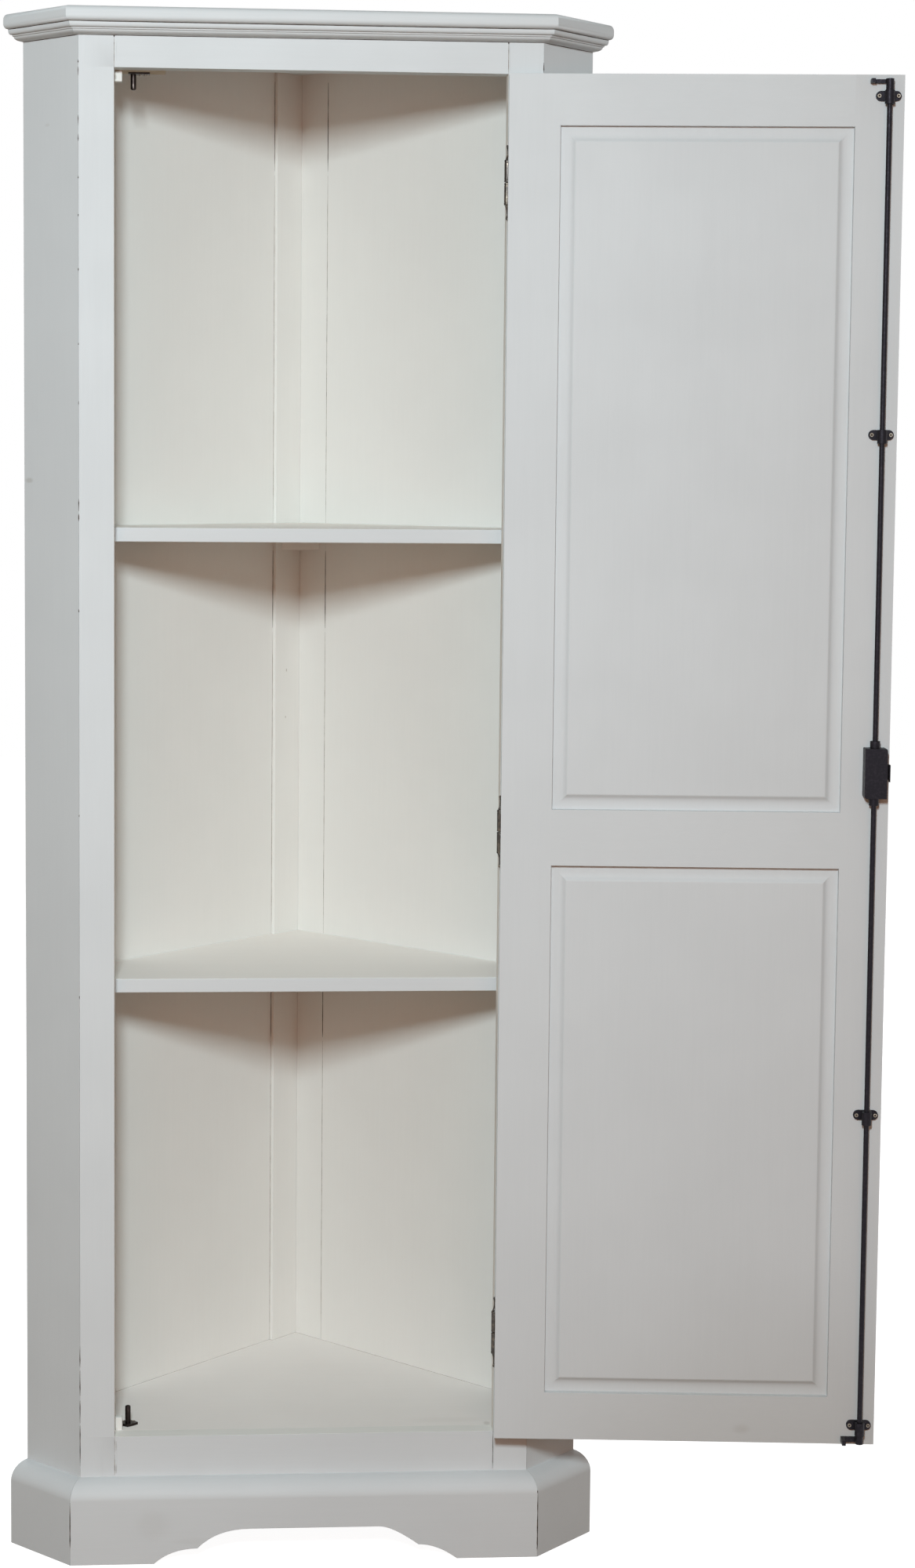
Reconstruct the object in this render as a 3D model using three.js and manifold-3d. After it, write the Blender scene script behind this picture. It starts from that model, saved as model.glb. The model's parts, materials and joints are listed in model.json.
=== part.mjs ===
// Corner cupboard with one framed door on three finial hinges and a rod lock.
// Lengths are millimetres, +Z is up, the face looks along -Y and +X is to the right.
// The origin is on the floor, under the left corner strip, just in front of the room corner.
import * as THREE from 'three';
import { mergeVertices } from 'three/addons/utils/BufferGeometryUtils.js';
import Module from 'manifold-3d';

const wasm = await Module();
wasm.setup();

// Whole cupboard.
const overallHeight = 1900;
const frontWidth = 559;
const returnWidth = 98.4;
const originSetback = 7;

// Boards of the carcass.
const frameThickness = 22;
const stileWidth = 42.7;
const topRailHeight = 50.4;
const bottomRailHeight = 93;
const backThickness = 8;
const rabbetDepth = 12;
const cornerStripWidth = 47.6;
const leftStripThickness = 13;
const rightStripThickness = 8;

// Cap board and the moulding below it.
const capThickness = 17.8;
const capOverhang = 31.4;
const capTopRound = 8;
const capUnderRound = 5.5;
const mouldingReach = 23.5;
const mouldingBand = 1.2;
const mouldingOvoloDrop = 5;
const mouldingOvoloSet = 3.5;
const mouldingFilletSet = 3;
const mouldingFilletDrop = 1.4;
const mouldingQuirkSet = 2.5;
const mouldingQuirkDrop = 0.6;
const mouldingFoot = 5.3;
const mouldingLowDrop = 3.9;
const mouldingFootDrop = 0.4;

// Plinth and its arch.
const plinthHeight = 102;
const plinthProud = 27.7;
const plinthRound = 21;
const archHeight = 42.8;
const archLeftFoot = 187.4;
const archLeftCusp = 133.7;
const archLeftFlat = 68.8;
const archRightFoot = 190.1;
const archRightCusp = 141.8;
const archRightFlat = 92.1;
const archCuspHeight = 18.8;
const archLeftFootPullShare = 0.38;
const archLeftCuspPullShare = 0.36;
const archRightFootPullShare = 0.52;
const archRightCuspPullShare = 0.66;

// Floor board and shelves.
const floorTop = 153;
const shelfThickness = 17.5;
const shelfSetback = 45.6;
const lowerShelfHeightShare = 0.3287;
const upperShelfHeightShare = 0.6531;
const cleatHeight = 19;
const cleatReach = 25.4;

// Door.
const doorThickness = 22;
const doorSideGap = 1.5;
const doorTopGap = 3.2;
const doorBottomGap = 1.8;
const doorOpenAngle = THREE.MathUtils.degToRad(174.65);
const hingeStileWidth = 62;
const lockStileWidth = 58;
const doorTopRailHeight = 61.2;
const doorLockRailHeight = 69;
const doorBottomRailHeight = 59.2;
const lockRailHeightShare = 0.43;
const grooveDepth = 9;
const grooveWidth = 6.6;
const panelThickness = 15;
const tongueThickness = 6;
const fieldMargin = 17;
const fieldStep = 1.4;

// Hinges.
const hingeAxisProud = 4.5;
const hingeEndDistance = 126.6;
const middleHingeRise = 3.3;
const knuckleRadius = 3;
const knuckleHeight = 27.2;
const knuckleGap = 0.4;
const hingePinRadius = 1.4;
const hingePinHeight = 12;
const finialHeight = 17.6;
const finialCollarRadius = 2.3;
const finialStemRadius = 1.1;
const finialBallRadius = 1.7;
const leafHeight = 24;
const leafDepth = 18;
const leafThickness = 1.2;

// Rod lock.
const rodRadius = 3.15;
const rodProud = 11;
const rodFromLockEdge = 19.4;
const rodCollarRadius = 6.1;
const rodCollarHeight = 8.4;
const caseWidth = 30;
const caseHeight = 61;
const caseDepth = 20;
const caseFromLockEdge = 2;
const caseRise = 19.5;
const caseCorner = 7;
const boltLength = 1.4;
const boltHeight = 21;
const boltThickness = 7;
const boltRise = 20;

// Rod guides and their screws.
const guideWidth = 30.4;
const guideHeight = 12;
const guideThickness = 3;
const sleeveRadius = 6;
const sleeveDrop = 4.5;
const endGuideDistance = 25.4;
const upperGuideHeightShare = 0.556;
const lowerGuideHeightShare = 0.54;
const screwOffset = 11.4;
const screwHeadRadius = 2.7;
const screwHeadHeight = 1.5;
const screwShankRadius = 1.3;
const screwSlotWidth = 0.7;
const screwSlotDepth = 0.7;

// Hooks at the rod ends and the pins they catch behind.
const hookBossRadius = 4.75;
const hookArmWidth = 3.5;
const hookLugWidth = 4.5;
const hookPinClearance = 0.9;
const hookLugClearance = 3;
const topHookHeight = 4.8;
const topHookBossHeight = 13;
const topLugReach = 4;
const bottomHookHeight = 6.4;
const bottomHookBossHeight = 10.2;
const bottomLugReach = 8;
const pinRadius = 3.45;
const pinBehindRod = 11;
const topPinAside = 1.15;
const bottomPinAside = 5.4;
const pinDome = 2;
const topPinLength = 19;
const topKeepWidth = 12;
const topKeepLength = 26;
const topKeepThickness = 2;
const bottomPinLength = 22;
const bottomKeepThickness = 3;
const bottomKeepLength = 25.4;
const bottomKeepWidth = 20;
const keepPointShare = 0.75;

// Blocks that the door and the top keep meet.
const stopGap = 1;
const stopWidth = 9;
const stopDepth = 11;
const topStopHeight = 13.5;
const bottomStopHeight = 16.4;
const keepBlockWidth = 60.8;
const keepBlockDepth = 34;

// Knob on the outer face of the door.
const roseRadius = 14;
const roseThickness = 3;
const spindleRadius = 4;
const knobNeck = 14;
const knobLength = 34;
const knobBreadth = 15;
const knobThickness = 12;

// Clearances between pieces.
const joinGap = 0.3;
const turnClearance = 0.3;
const cutOverrun = 2;
const weldDistance = 0.0001;

// Steps of the round shapes.
const roundSteps = 16;
const screwSteps = 12;
const arcSteps = 5;
const archSteps = 8;

// Places worked out from the sizes above.
const halfTurn = Math.PI;
const quarterTurn = halfTurn / 2;
const diagonalShare = Math.SQRT1_2;
const halfFront = frontWidth / 2;
const returnReach = returnWidth * diagonalShare;
const faceDepth = halfFront + returnReach + returnReach;
const halfDoorway = halfFront - stileWidth;
const capBottom = overallHeight - capThickness;
const doorwayTop = capBottom - topRailHeight;
const insideHeight = capBottom - floorTop;
const lowerShelfTop = floorTop + insideHeight * lowerShelfHeightShare;
const upperShelfTop = floorTop + insideHeight * upperShelfHeightShare;
const doorWidth = halfDoorway + halfDoorway - doorSideGap - doorSideGap;
const doorBottom = floorTop + doorBottomGap;
const doorTop = doorwayTop - doorTopGap;
const doorHeight = doorTop - doorBottom;
const lockRailBottom = doorBottom + doorHeight * lockRailHeightShare;
const lockRailTop = lockRailBottom + doorLockRailHeight;
const bottomRailTop = doorBottom + doorBottomRailHeight;
const topRailBottom = doorTop - doorTopRailHeight;
const hingeInset = doorSideGap / 2;
const hingeAxisX = halfDoorway - hingeInset;
const hingeAxisY = -faceDepth - hingeAxisProud;
const closedRodX = doorSideGap + rodFromLockEdge - halfDoorway;
const closedRodY = -faceDepth + doorThickness + rodProud;
const topPinX = closedRodX + topPinAside;
const bottomPinX = closedRodX - bottomPinAside;
const closedPinY = closedRodY + pinBehindRod;
const caseBottom = lockRailTop + caseRise;
const caseTop = caseBottom + caseHeight;
const topGuideZ = doorTop - endGuideDistance;
const bottomGuideZ = doorBottom + endGuideDistance;
const upperGuideZ = lockRailTop + (topRailBottom - lockRailTop) * upperGuideHeightShare;
const lowerGuideZ = bottomRailTop + (lockRailBottom - bottomRailTop) * lowerGuideHeightShare;
const hingeHeights = [
  ['lower', doorBottom + hingeEndDistance],
  ['middle', (lockRailBottom + lockRailTop) / 2 + middleHingeRise],
  ['upper', doorTop - hingeEndDistance],
];

// Finishes.
const paint = { color: 0xb9b7b3, roughness: 0.62, metalness: 0 };
const paintInside = { color: 0xb3b0ab, roughness: 0.7, metalness: 0 };
const baredWood = { color: 0xb49a78, roughness: 0.75, metalness: 0 };
const darkIron = { color: 0x1c1a1b, roughness: 0.45, metalness: 0.7 };
const bronze = { color: 0x4a3a2c, roughness: 0.35, metalness: 0.9 };
const steel = { color: 0x8d8a86, roughness: 0.3, metalness: 0.95 };

function piece(name, geometry, finish) {
  const material = new THREE.MeshStandardMaterial({ ...finish, flatShading: true });
  const mesh = new THREE.Mesh(geometry, material);
  mesh.name = name;
  return mesh;
}

// Joining and cutting of closed bodies.
function solidOf(geometry) {
  const bare = geometry.clone();
  bare.deleteAttribute('normal');
  bare.deleteAttribute('uv');
  const welded = mergeVertices(bare, weldDistance);
  const body = {
    numProp: 3,
    vertProperties: welded.attributes.position.array,
    triVerts: Uint32Array.from(welded.index.array),
  };
  return new wasm.Manifold(new wasm.Mesh(body));
}

function geometryOf(solid) {
  const body = solid.getMesh();
  const geometry = new THREE.BufferGeometry();
  geometry.setAttribute('position', new THREE.BufferAttribute(body.vertProperties, 3));
  geometry.setIndex(new THREE.BufferAttribute(body.triVerts, 1));
  geometry.computeVertexNormals();
  return geometry;
}

function joined(first, ...others) {
  const sum = others.reduce((solid, other) => solid.add(solidOf(other)), solidOf(first));
  return geometryOf(sum);
}

function cutBy(first, ...cutters) {
  const rest = cutters.reduce((solid, cutter) => solid.subtract(solidOf(cutter)), solidOf(first));
  return geometryOf(rest);
}

// Plan geometry: a line is a point with a direction, and two lines meet in a point.
function planLine(x, y, alongX, alongY) {
  return { x, y, alongX, alongY };
}

function meet(first, second) {
  const cross = first.alongX * second.alongY - first.alongY * second.alongX;
  const awayX = second.x - first.x;
  const awayY = second.y - first.y;
  const share = (awayX * second.alongY - awayY * second.alongX) / cross;
  return new THREE.Vector2(first.x + first.alongX * share, first.y + first.alongY * share);
}

// The lines of the right half, each moved into the cupboard by an inset.
function faceLine(inset) {
  return planLine(0, -faceDepth + inset, 1, 0);
}

function returnLine(inset) {
  const move = inset * diagonalShare;
  return planLine(halfFront - move, -faceDepth + move, 1, 1);
}

function wallLine(inset) {
  const move = inset * diagonalShare;
  return planLine(-move, -move, 1, -1);
}

function wallCut(distance) {
  const move = distance * diagonalShare;
  return planLine(move, -move, 1, 1);
}

function flipped(line) {
  return planLine(-line.x, line.y, -line.alongX, line.alongY);
}

function mirrored(points) {
  return points.map((point) => new THREE.Vector2(-point.x, point.y)).reverse();
}

// A plan outline raised from one height to another.
function upright(outline, bottom, top) {
  const shape = new THREE.Shape(outline);
  const geometry = new THREE.ExtrudeGeometry(shape, { depth: top - bottom, bevelEnabled: false });
  return geometry.translate(0, 0, bottom);
}

// A box between two corners.
function block(lowX, highX, lowY, highY, lowZ, highZ) {
  const geometry = new THREE.BoxGeometry(highX - lowX, highY - lowY, highZ - lowZ);
  return geometry.translate((lowX + highX) / 2, (lowY + highY) / 2, (lowZ + highZ) / 2);
}

// A section of offset and height carried from one end to the other, mitred by the end functions.
function mouldedBar(section, fromAt, toAt) {
  const shape = new THREE.Shape(section);
  const geometry = new THREE.ExtrudeGeometry(shape, { depth: 1, bevelEnabled: false });
  const places = geometry.attributes.position;
  for (let index = 0; index < places.count; index += 1) {
    const offset = places.getX(index);
    const height = places.getY(index);
    const end = places.getZ(index) > 0 ? toAt(offset) : fromAt(offset);
    places.setXYZ(index, end.x, end.y, height);
  }
  geometry.computeVertexNormals();
  return geometry;
}

// Closed rings joined in order, with a flat face on the first and the last.
function stacked(rings) {
  const size = rings[0].length;
  const places = rings.flatMap((ring) => ring.flatMap((point) => [point.x, point.y, point.z]));
  const faces = [];
  for (let level = 0; level + 1 < rings.length; level += 1) {
    for (let corner = 0; corner < size; corner += 1) {
      const next = (corner + 1) % size;
      const low = level * size;
      const high = low + size;
      faces.push(low + corner, low + next, high + next);
      faces.push(low + corner, high + next, high + corner);
    }
  }
  const last = (rings.length - 1) * size;
  for (let corner = 1; corner + 1 < size; corner += 1) {
    faces.push(0, corner + 1, corner);
    faces.push(last, last + corner, last + corner + 1);
  }
  const geometry = new THREE.BufferGeometry();
  geometry.setAttribute('position', new THREE.Float32BufferAttribute(places, 3));
  geometry.setIndex(faces);
  geometry.computeVertexNormals();
  return geometry;
}

// A turned body about +Z from points of radius and height.
function turned(points, steps) {
  const profile = points.map(([radius, height]) => new THREE.Vector2(radius, height));
  const geometry = new THREE.LatheGeometry(profile, steps);
  return geometry.rotateX(quarterTurn);
}

function circleShape(x, y, radius) {
  const shape = new THREE.Shape();
  shape.absarc(x, y, radius, 0, halfTurn + halfTurn, false);
  return shape;
}

// Face frame: two stiles mitred to the returns, with rails between them.
function frontStileOutline() {
  const outer = meet(faceLine(0), returnLine(0));
  const inner = meet(faceLine(frameThickness), returnLine(frameThickness));
  return [
    new THREE.Vector2(halfDoorway, -faceDepth),
    new THREE.Vector2(outer.x - joinGap, outer.y),
    new THREE.Vector2(inner.x - joinGap, inner.y),
    new THREE.Vector2(halfDoorway, -faceDepth + frameThickness),
  ];
}

function leafPocketInJamb(splitZ) {
  return block(
    halfDoorway - cutOverrun,
    halfDoorway + leafThickness + joinGap,
    -faceDepth - cutOverrun,
    -faceDepth + leafDepth + joinGap,
    splitZ - leafHeight - joinGap,
    splitZ + joinGap,
  );
}

function frontStiles() {
  const right = upright(frontStileOutline(), 0, capBottom);
  const left = upright(mirrored(frontStileOutline()), 0, capBottom);
  const pockets = hingeHeights.map(([, splitZ]) => leafPocketInJamb(splitZ));
  return [
    piece('left_front_stile', left, paint),
    piece('right_front_stile', cutBy(right, ...pockets), paint),
  ];
}

function faceRail(name, bottom, top) {
  const reach = halfDoorway - joinGap;
  const board = block(-reach, reach, -faceDepth, -faceDepth + frameThickness, bottom, top);
  return piece(name, board, paint);
}

// Side boards at 45 degrees, rabbeted at the back for the wall boards.
function sideBoardOutline() {
  const tongue = frameThickness - rabbetDepth;
  const seat = backThickness + joinGap;
  return [
    meet(faceLine(0), returnLine(0)),
    meet(returnLine(0), wallLine(0)),
    meet(returnLine(tongue), wallLine(0)),
    meet(returnLine(tongue), wallLine(seat)),
    meet(returnLine(frameThickness), wallLine(seat)),
    meet(faceLine(frameThickness), returnLine(frameThickness)),
  ];
}

// Two strips fill the back corner: the left one runs through, and the right one butts against it.
const rightStripEnd = cornerStripWidth + leftStripThickness;
const leftStripEnd = cornerStripWidth + rightStripThickness;

function backBoardOutline(stripEnd) {
  const stop = frameThickness - rabbetDepth + joinGap;
  const start = stripEnd + joinGap;
  return [
    meet(wallCut(start), wallLine(backThickness)),
    meet(returnLine(stop), wallLine(backThickness)),
    meet(returnLine(stop), wallLine(0)),
    meet(wallCut(start), wallLine(0)),
  ];
}

function leftStripOutline() {
  const inner = flipped(wallLine(leftStripThickness));
  const end = flipped(wallCut(leftStripEnd));
  return [
    new THREE.Vector2(0, 0),
    meet(end, flipped(wallLine(0))),
    meet(end, inner),
    meet(inner, wallLine(0)),
  ];
}

function rightStripOutline() {
  const start = flipped(wallLine(leftStripThickness + joinGap));
  const inner = wallLine(rightStripThickness);
  const end = wallCut(rightStripEnd);
  return [
    meet(start, wallLine(0)),
    meet(start, inner),
    meet(end, inner),
    meet(end, wallLine(0)),
  ];
}

function sidesAndBack() {
  const side = sideBoardOutline();
  const rightBack = backBoardOutline(rightStripEnd);
  const leftBack = mirrored(backBoardOutline(leftStripEnd));
  return [
    piece('left_side_board', upright(mirrored(side), 0, capBottom), paint),
    piece('right_side_board', upright(side, 0, capBottom), paint),
    piece('left_back_board', upright(leftBack, 0, capBottom), paintInside),
    piece('right_back_board', upright(rightBack, 0, capBottom), paintInside),
    piece('left_corner_strip', upright(leftStripOutline(), 0, capBottom), paintInside),
    piece('right_corner_strip', upright(rightStripOutline(), 0, capBottom), paintInside),
  ];
}

// Cap board with rounded edges on the front and the returns.
function capRing(overhang, z) {
  const front = meet(faceLine(-overhang), returnLine(-overhang));
  const rear = meet(returnLine(-overhang), wallLine(0));
  return [
    new THREE.Vector3(-front.x, front.y, z),
    new THREE.Vector3(front.x, front.y, z),
    new THREE.Vector3(rear.x, rear.y, z),
    new THREE.Vector3(0, 0, z),
    new THREE.Vector3(-rear.x, rear.y, z),
  ];
}

function cornerCap() {
  const turns = Array.from({ length: arcSteps + 1 }, (_, step) => (step / arcSteps) * quarterTurn);
  const low = turns.map((turn) => capRing(
    capOverhang - capUnderRound + capUnderRound * Math.sin(turn),
    capBottom + capUnderRound - capUnderRound * Math.cos(turn),
  ));
  const high = turns.map((turn) => capRing(
    capOverhang - capTopRound + capTopRound * Math.cos(turn),
    overallHeight - capTopRound + capTopRound * Math.sin(turn),
  ));
  return piece('cornice_cap', stacked([...low, ...high]), paint);
}

// Moulding section: a band, an ovolo, a fillet, a quirk and a second ovolo on a foot.
function corniceSection() {
  const points = [];
  const bandZ = capBottom - mouldingBand;
  points.push(new THREE.Vector2(0, capBottom));
  points.push(new THREE.Vector2(0, bandZ - mouldingDrop()));
  points.push(new THREE.Vector2(mouldingFoot, bandZ - mouldingDrop() + mouldingFootDrop));
  const filletX = mouldingReach - mouldingOvoloSet - mouldingFilletSet;
  const quirkX = filletX - mouldingQuirkSet;
  const ovoloZ = bandZ - mouldingOvoloDrop;
  const quirkZ = ovoloZ - mouldingFilletDrop - mouldingQuirkDrop;
  for (let step = 1; step <= arcSteps; step += 1) {
    const turn = (step / arcSteps) * quarterTurn;
    const reach = mouldingFoot + (quirkX - mouldingFoot) * Math.sin(turn);
    points.push(new THREE.Vector2(reach, quirkZ - mouldingLowDrop * Math.cos(turn)));
  }
  points.push(new THREE.Vector2(filletX, quirkZ + mouldingQuirkDrop));
  points.push(new THREE.Vector2(filletX, ovoloZ));
  for (let step = 0; step <= arcSteps; step += 1) {
    const turn = (step / arcSteps) * quarterTurn;
    const reach = mouldingReach - mouldingOvoloSet + mouldingOvoloSet * Math.sin(turn);
    points.push(new THREE.Vector2(reach, bandZ - mouldingOvoloDrop * Math.cos(turn)));
  }
  points.push(new THREE.Vector2(mouldingReach, capBottom));
  return points;
}

function mouldingDrop() {
  const upper = mouldingOvoloDrop + mouldingFilletDrop + mouldingQuirkDrop;
  return upper + mouldingLowDrop + mouldingFootDrop;
}

// Plinth section: a board with a rounded top edge.
function plinthSection() {
  const points = [new THREE.Vector2(joinGap, 0), new THREE.Vector2(plinthProud, 0)];
  for (let step = 0; step <= archSteps; step += 1) {
    const turn = (step / archSteps) * quarterTurn;
    const reach = joinGap + (plinthProud - joinGap) * Math.cos(turn);
    points.push(new THREE.Vector2(reach, plinthHeight - plinthRound + plinthRound * Math.sin(turn)));
  }
  return points;
}

// Ends of a bar that runs round the face and the returns, mitred at the front corners.
function rightCornerAt(offset) {
  return meet(faceLine(-offset), returnLine(-offset));
}

function rightCornerInsideAt(offset) {
  const corner = rightCornerAt(offset);
  return new THREE.Vector2(corner.x - joinGap, corner.y);
}

function rightRearAt(offset) {
  return meet(returnLine(-offset), wallLine(0));
}

function mirroredAt(endAt) {
  return (offset) => {
    const point = endAt(offset);
    return new THREE.Vector2(-point.x, point.y);
  };
}

function barsAround(names, section) {
  const leftInside = mirroredAt(rightCornerInsideAt);
  const front = mouldedBar(section, rightCornerInsideAt, leftInside);
  const right = mouldedBar(section, rightRearAt, rightCornerAt);
  const left = mouldedBar(section, mirroredAt(rightCornerAt), mirroredAt(rightRearAt));
  return { [names[0]]: front, [names[1]]: left, [names[2]]: right };
}

function mouldings() {
  const names = ['cornice_moulding_front', 'cornice_moulding_left', 'cornice_moulding_right'];
  const section = corniceSection().map((point) => new THREE.Vector2(point.x + joinGap, point.y));
  const bars = barsAround(names, section);
  return names.map((name) => piece(name, bars[name], paint));
}

// The arch under the plinth: two curves on each side and a flat between them.
function archCutter() {
  const shape = new THREE.Shape();
  const leftRun = archLeftFoot - archLeftCusp;
  const leftRise = archLeftCusp - archLeftFlat;
  const rightRun = archRightFoot - archRightCusp;
  const rightRise = archRightCusp - archRightFlat;
  shape.moveTo(-archLeftFoot, -cutOverrun);
  shape.lineTo(-archLeftFoot, 0);
  shape.quadraticCurveTo(
    -archLeftFoot + leftRun * archLeftFootPullShare,
    archCuspHeight,
    -archLeftCusp,
    archCuspHeight,
  );
  shape.quadraticCurveTo(
    -archLeftCusp + leftRise * archLeftCuspPullShare,
    archHeight,
    -archLeftFlat,
    archHeight,
  );
  shape.lineTo(archRightFlat, archHeight);
  shape.quadraticCurveTo(
    archRightCusp - rightRise * archRightCuspPullShare,
    archHeight,
    archRightCusp,
    archCuspHeight,
  );
  shape.quadraticCurveTo(
    archRightFoot - rightRun * archRightFootPullShare,
    archCuspHeight,
    archRightFoot,
    0,
  );
  shape.lineTo(archRightFoot, -cutOverrun);
  const depth = plinthProud + cutOverrun + cutOverrun;
  const options = { depth, bevelEnabled: false, curveSegments: archSteps };
  const geometry = new THREE.ExtrudeGeometry(shape, options);
  return geometry.rotateX(quarterTurn).translate(0, -faceDepth + cutOverrun, 0);
}

function plinthBoards() {
  const names = ['plinth_front', 'plinth_left', 'plinth_right'];
  const bars = barsAround(names, plinthSection());
  bars[names[0]] = cutBy(bars[names[0]], archCutter());
  return names.map((name) => piece(name, bars[name], paint));
}

// Floor board and shelves, fitted between the returns, the wall boards and the corner strips.
function shelfOutline(frontInset) {
  const rightReturn = returnLine(frameThickness + joinGap);
  const rightWall = wallLine(backThickness + joinGap);
  const leftWall = flipped(rightWall);
  const leftStrip = flipped(wallLine(leftStripThickness + joinGap));
  const leftCut = flipped(wallCut(leftStripEnd + joinGap));
  const frontRight = meet(faceLine(frontInset), rightReturn);
  const rearRight = meet(rightReturn, rightWall);
  const rightStrip = wallLine(rightStripThickness + joinGap);
  const rightCut = wallCut(rightStripEnd + joinGap);
  const points = [
    new THREE.Vector2(-frontRight.x, frontRight.y),
    frontRight,
    rearRight,
    meet(rightWall, rightCut),
    meet(rightCut, rightStrip),
    meet(rightStrip, leftStrip),
    meet(leftStrip, leftCut),
    meet(leftCut, leftWall),
    new THREE.Vector2(-rearRight.x, rearRight.y),
  ];
  return points.filter((point, index) => index === 0 || !point.equals(points[index - 1]));
}

function cleatOutline() {
  const right = wallLine(rightStripThickness + joinGap);
  const left = flipped(wallLine(leftStripThickness + joinGap));
  const apex = meet(right, left);
  const front = planLine(0, apex.y - cleatReach, 1, 0);
  return [apex, meet(front, left), meet(front, right)];
}

function floorAndShelves() {
  const floor = shelfOutline(frameThickness + joinGap);
  const shelf = shelfOutline(shelfSetback);
  const lowerUnder = lowerShelfTop - shelfThickness;
  const upperUnder = upperShelfTop - shelfThickness;
  const lowCleat = upright(cleatOutline(), lowerUnder - cleatHeight, lowerUnder);
  const highCleat = upright(cleatOutline(), upperUnder - cleatHeight, upperUnder);
  return [
    piece('floor_board', upright(floor, floorTop - shelfThickness, floorTop), paintInside),
    piece('lower_shelf', upright(shelf, lowerUnder, lowerShelfTop), paintInside),
    piece('upper_shelf', upright(shelf, upperUnder, upperShelfTop), paintInside),
    piece('lower_shelf_cleat', lowCleat, paintInside),
    piece('upper_shelf_cleat', highCleat, paintInside),
  ];
}

// Blocks on the left jamb: door stops and the block that carries the top keep.
function blocks() {
  const left = -halfDoorway;
  const behind = -faceDepth + frameThickness;
  const stopFront = -faceDepth + doorThickness + stopGap;
  const stopBack = stopFront + stopDepth;
  const blockFront = behind + joinGap;
  const blockBack = blockFront + keepBlockDepth;
  const stopLow = doorwayTop - topStopHeight;
  const stopHigh = floorTop + bottomStopHeight;
  const keepBlock = block(left, left + keepBlockWidth, blockFront, blockBack, doorwayTop, capBottom);
  const topStop = block(left, left + stopWidth, stopFront, stopBack, stopLow, doorwayTop);
  const bottomStop = block(left, left + stopWidth, stopFront, stopBack, floorTop, stopHigh);
  return [
    piece('top_keep_block', keepBlock, baredWood),
    piece('top_door_stop', topStop, paint),
    piece('bottom_door_stop', bottomStop, paint),
  ];
}

// Keeps: a plate with a round pin that the hook catches.
function keepPin(x, y, length) {
  const straight = length - pinDome;
  const points = [[0, 0], [pinRadius, 0], [pinRadius, straight]];
  for (let step = 1; step <= arcSteps; step += 1) {
    const turn = (step / arcSteps) * quarterTurn;
    points.push([pinRadius * Math.cos(turn), straight + pinDome * Math.sin(turn)]);
  }
  points[points.length - 1][0] = 0;
  return turned(points, roundSteps).translate(x, y, 0);
}

function topKeep() {
  const under = doorwayTop - topKeepThickness;
  const startX = topPinX - topKeepWidth / 2;
  const lowY = closedPinY - topKeepWidth / 2;
  const highY = closedPinY + topKeepWidth / 2;
  const plate = block(startX, startX + topKeepLength, lowY, highY, under, doorwayTop);
  const pin = keepPin(0, 0, topPinLength + topKeepThickness / 2);
  pin.rotateX(halfTurn).translate(topPinX, closedPinY, under + topKeepThickness / 2);
  return piece('top_keep', joined(plate, pin), darkIron);
}

function bottomKeep() {
  const outline = [];
  for (let step = 0; step < roundSteps; step += 1) {
    const turn = (step / roundSteps) * (halfTurn + halfTurn);
    const spread = Math.abs(Math.cos(turn)) + Math.abs(Math.sin(turn));
    const reach = 1 + (1 / spread - 1) * keepPointShare;
    outline.push(new THREE.Vector2(
      bottomPinX + (bottomKeepLength / 2) * reach * Math.cos(turn),
      closedPinY + (bottomKeepWidth / 2) * reach * Math.sin(turn),
    ));
  }
  const plate = upright(outline, floorTop, floorTop + bottomKeepThickness);
  const pin = keepPin(bottomPinX, closedPinY, bottomPinLength + bottomKeepThickness / 2);
  pin.translate(0, 0, floorTop + bottomKeepThickness / 2);
  return piece('bottom_keep', joined(plate, pin), darkIron);
}

// Hinges: each half has a knuckle, a finial and a leaf, and the lower half carries the pin.
function finialProfile() {
  const collarHeight = knuckleRadius - finialStemRadius;
  const ballCentre = finialHeight - finialBallRadius;
  const points = [
    [finialStemRadius, 0],
    [finialCollarRadius, collarHeight / 2],
    [finialCollarRadius, collarHeight],
    [finialStemRadius, collarHeight + collarHeight],
    [finialStemRadius, ballCentre - finialBallRadius],
  ];
  for (let step = 1; step < arcSteps; step += 1) {
    const turn = (step / arcSteps) * halfTurn;
    points.push([finialBallRadius * Math.sin(turn), ballCentre - finialBallRadius * Math.cos(turn)]);
  }
  points.push([0, finialHeight]);
  return points;
}

function upperKnuckle() {
  const bore = hingePinRadius + turnClearance;
  const boreTop = hingePinHeight + turnClearance + turnClearance;
  const finial = finialProfile().map(([radius, height]) => [radius, knuckleHeight + height]);
  const points = [
    [0, boreTop],
    [bore, boreTop],
    [bore, knuckleGap],
    [knuckleRadius, knuckleGap],
    [knuckleRadius, knuckleHeight],
    ...finial,
  ];
  return turned(points, roundSteps);
}

function lowerKnuckle() {
  const finial = finialProfile().map(([radius, height]) => [radius, -knuckleHeight - height]);
  const points = [
    ...finial.reverse(),
    [knuckleRadius, -knuckleHeight],
    [knuckleRadius, 0],
    [hingePinRadius, 0],
    [hingePinRadius, hingePinHeight],
    [0, hingePinHeight],
  ];
  return turned(points, roundSteps);
}

function frameLeaf(label, splitZ) {
  const start = (hingePinRadius + knuckleRadius) / 2;
  const end = hingeAxisProud + leafDepth;
  const plate = block(hingeInset, hingeInset + leafThickness, start, end, -leafHeight, 0);
  const leaf = piece(`${label}_hinge_frame_leaf`, joined(lowerKnuckle(), plate), bronze);
  leaf.position.set(hingeAxisX, hingeAxisY, splitZ);
  return leaf;
}

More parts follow.
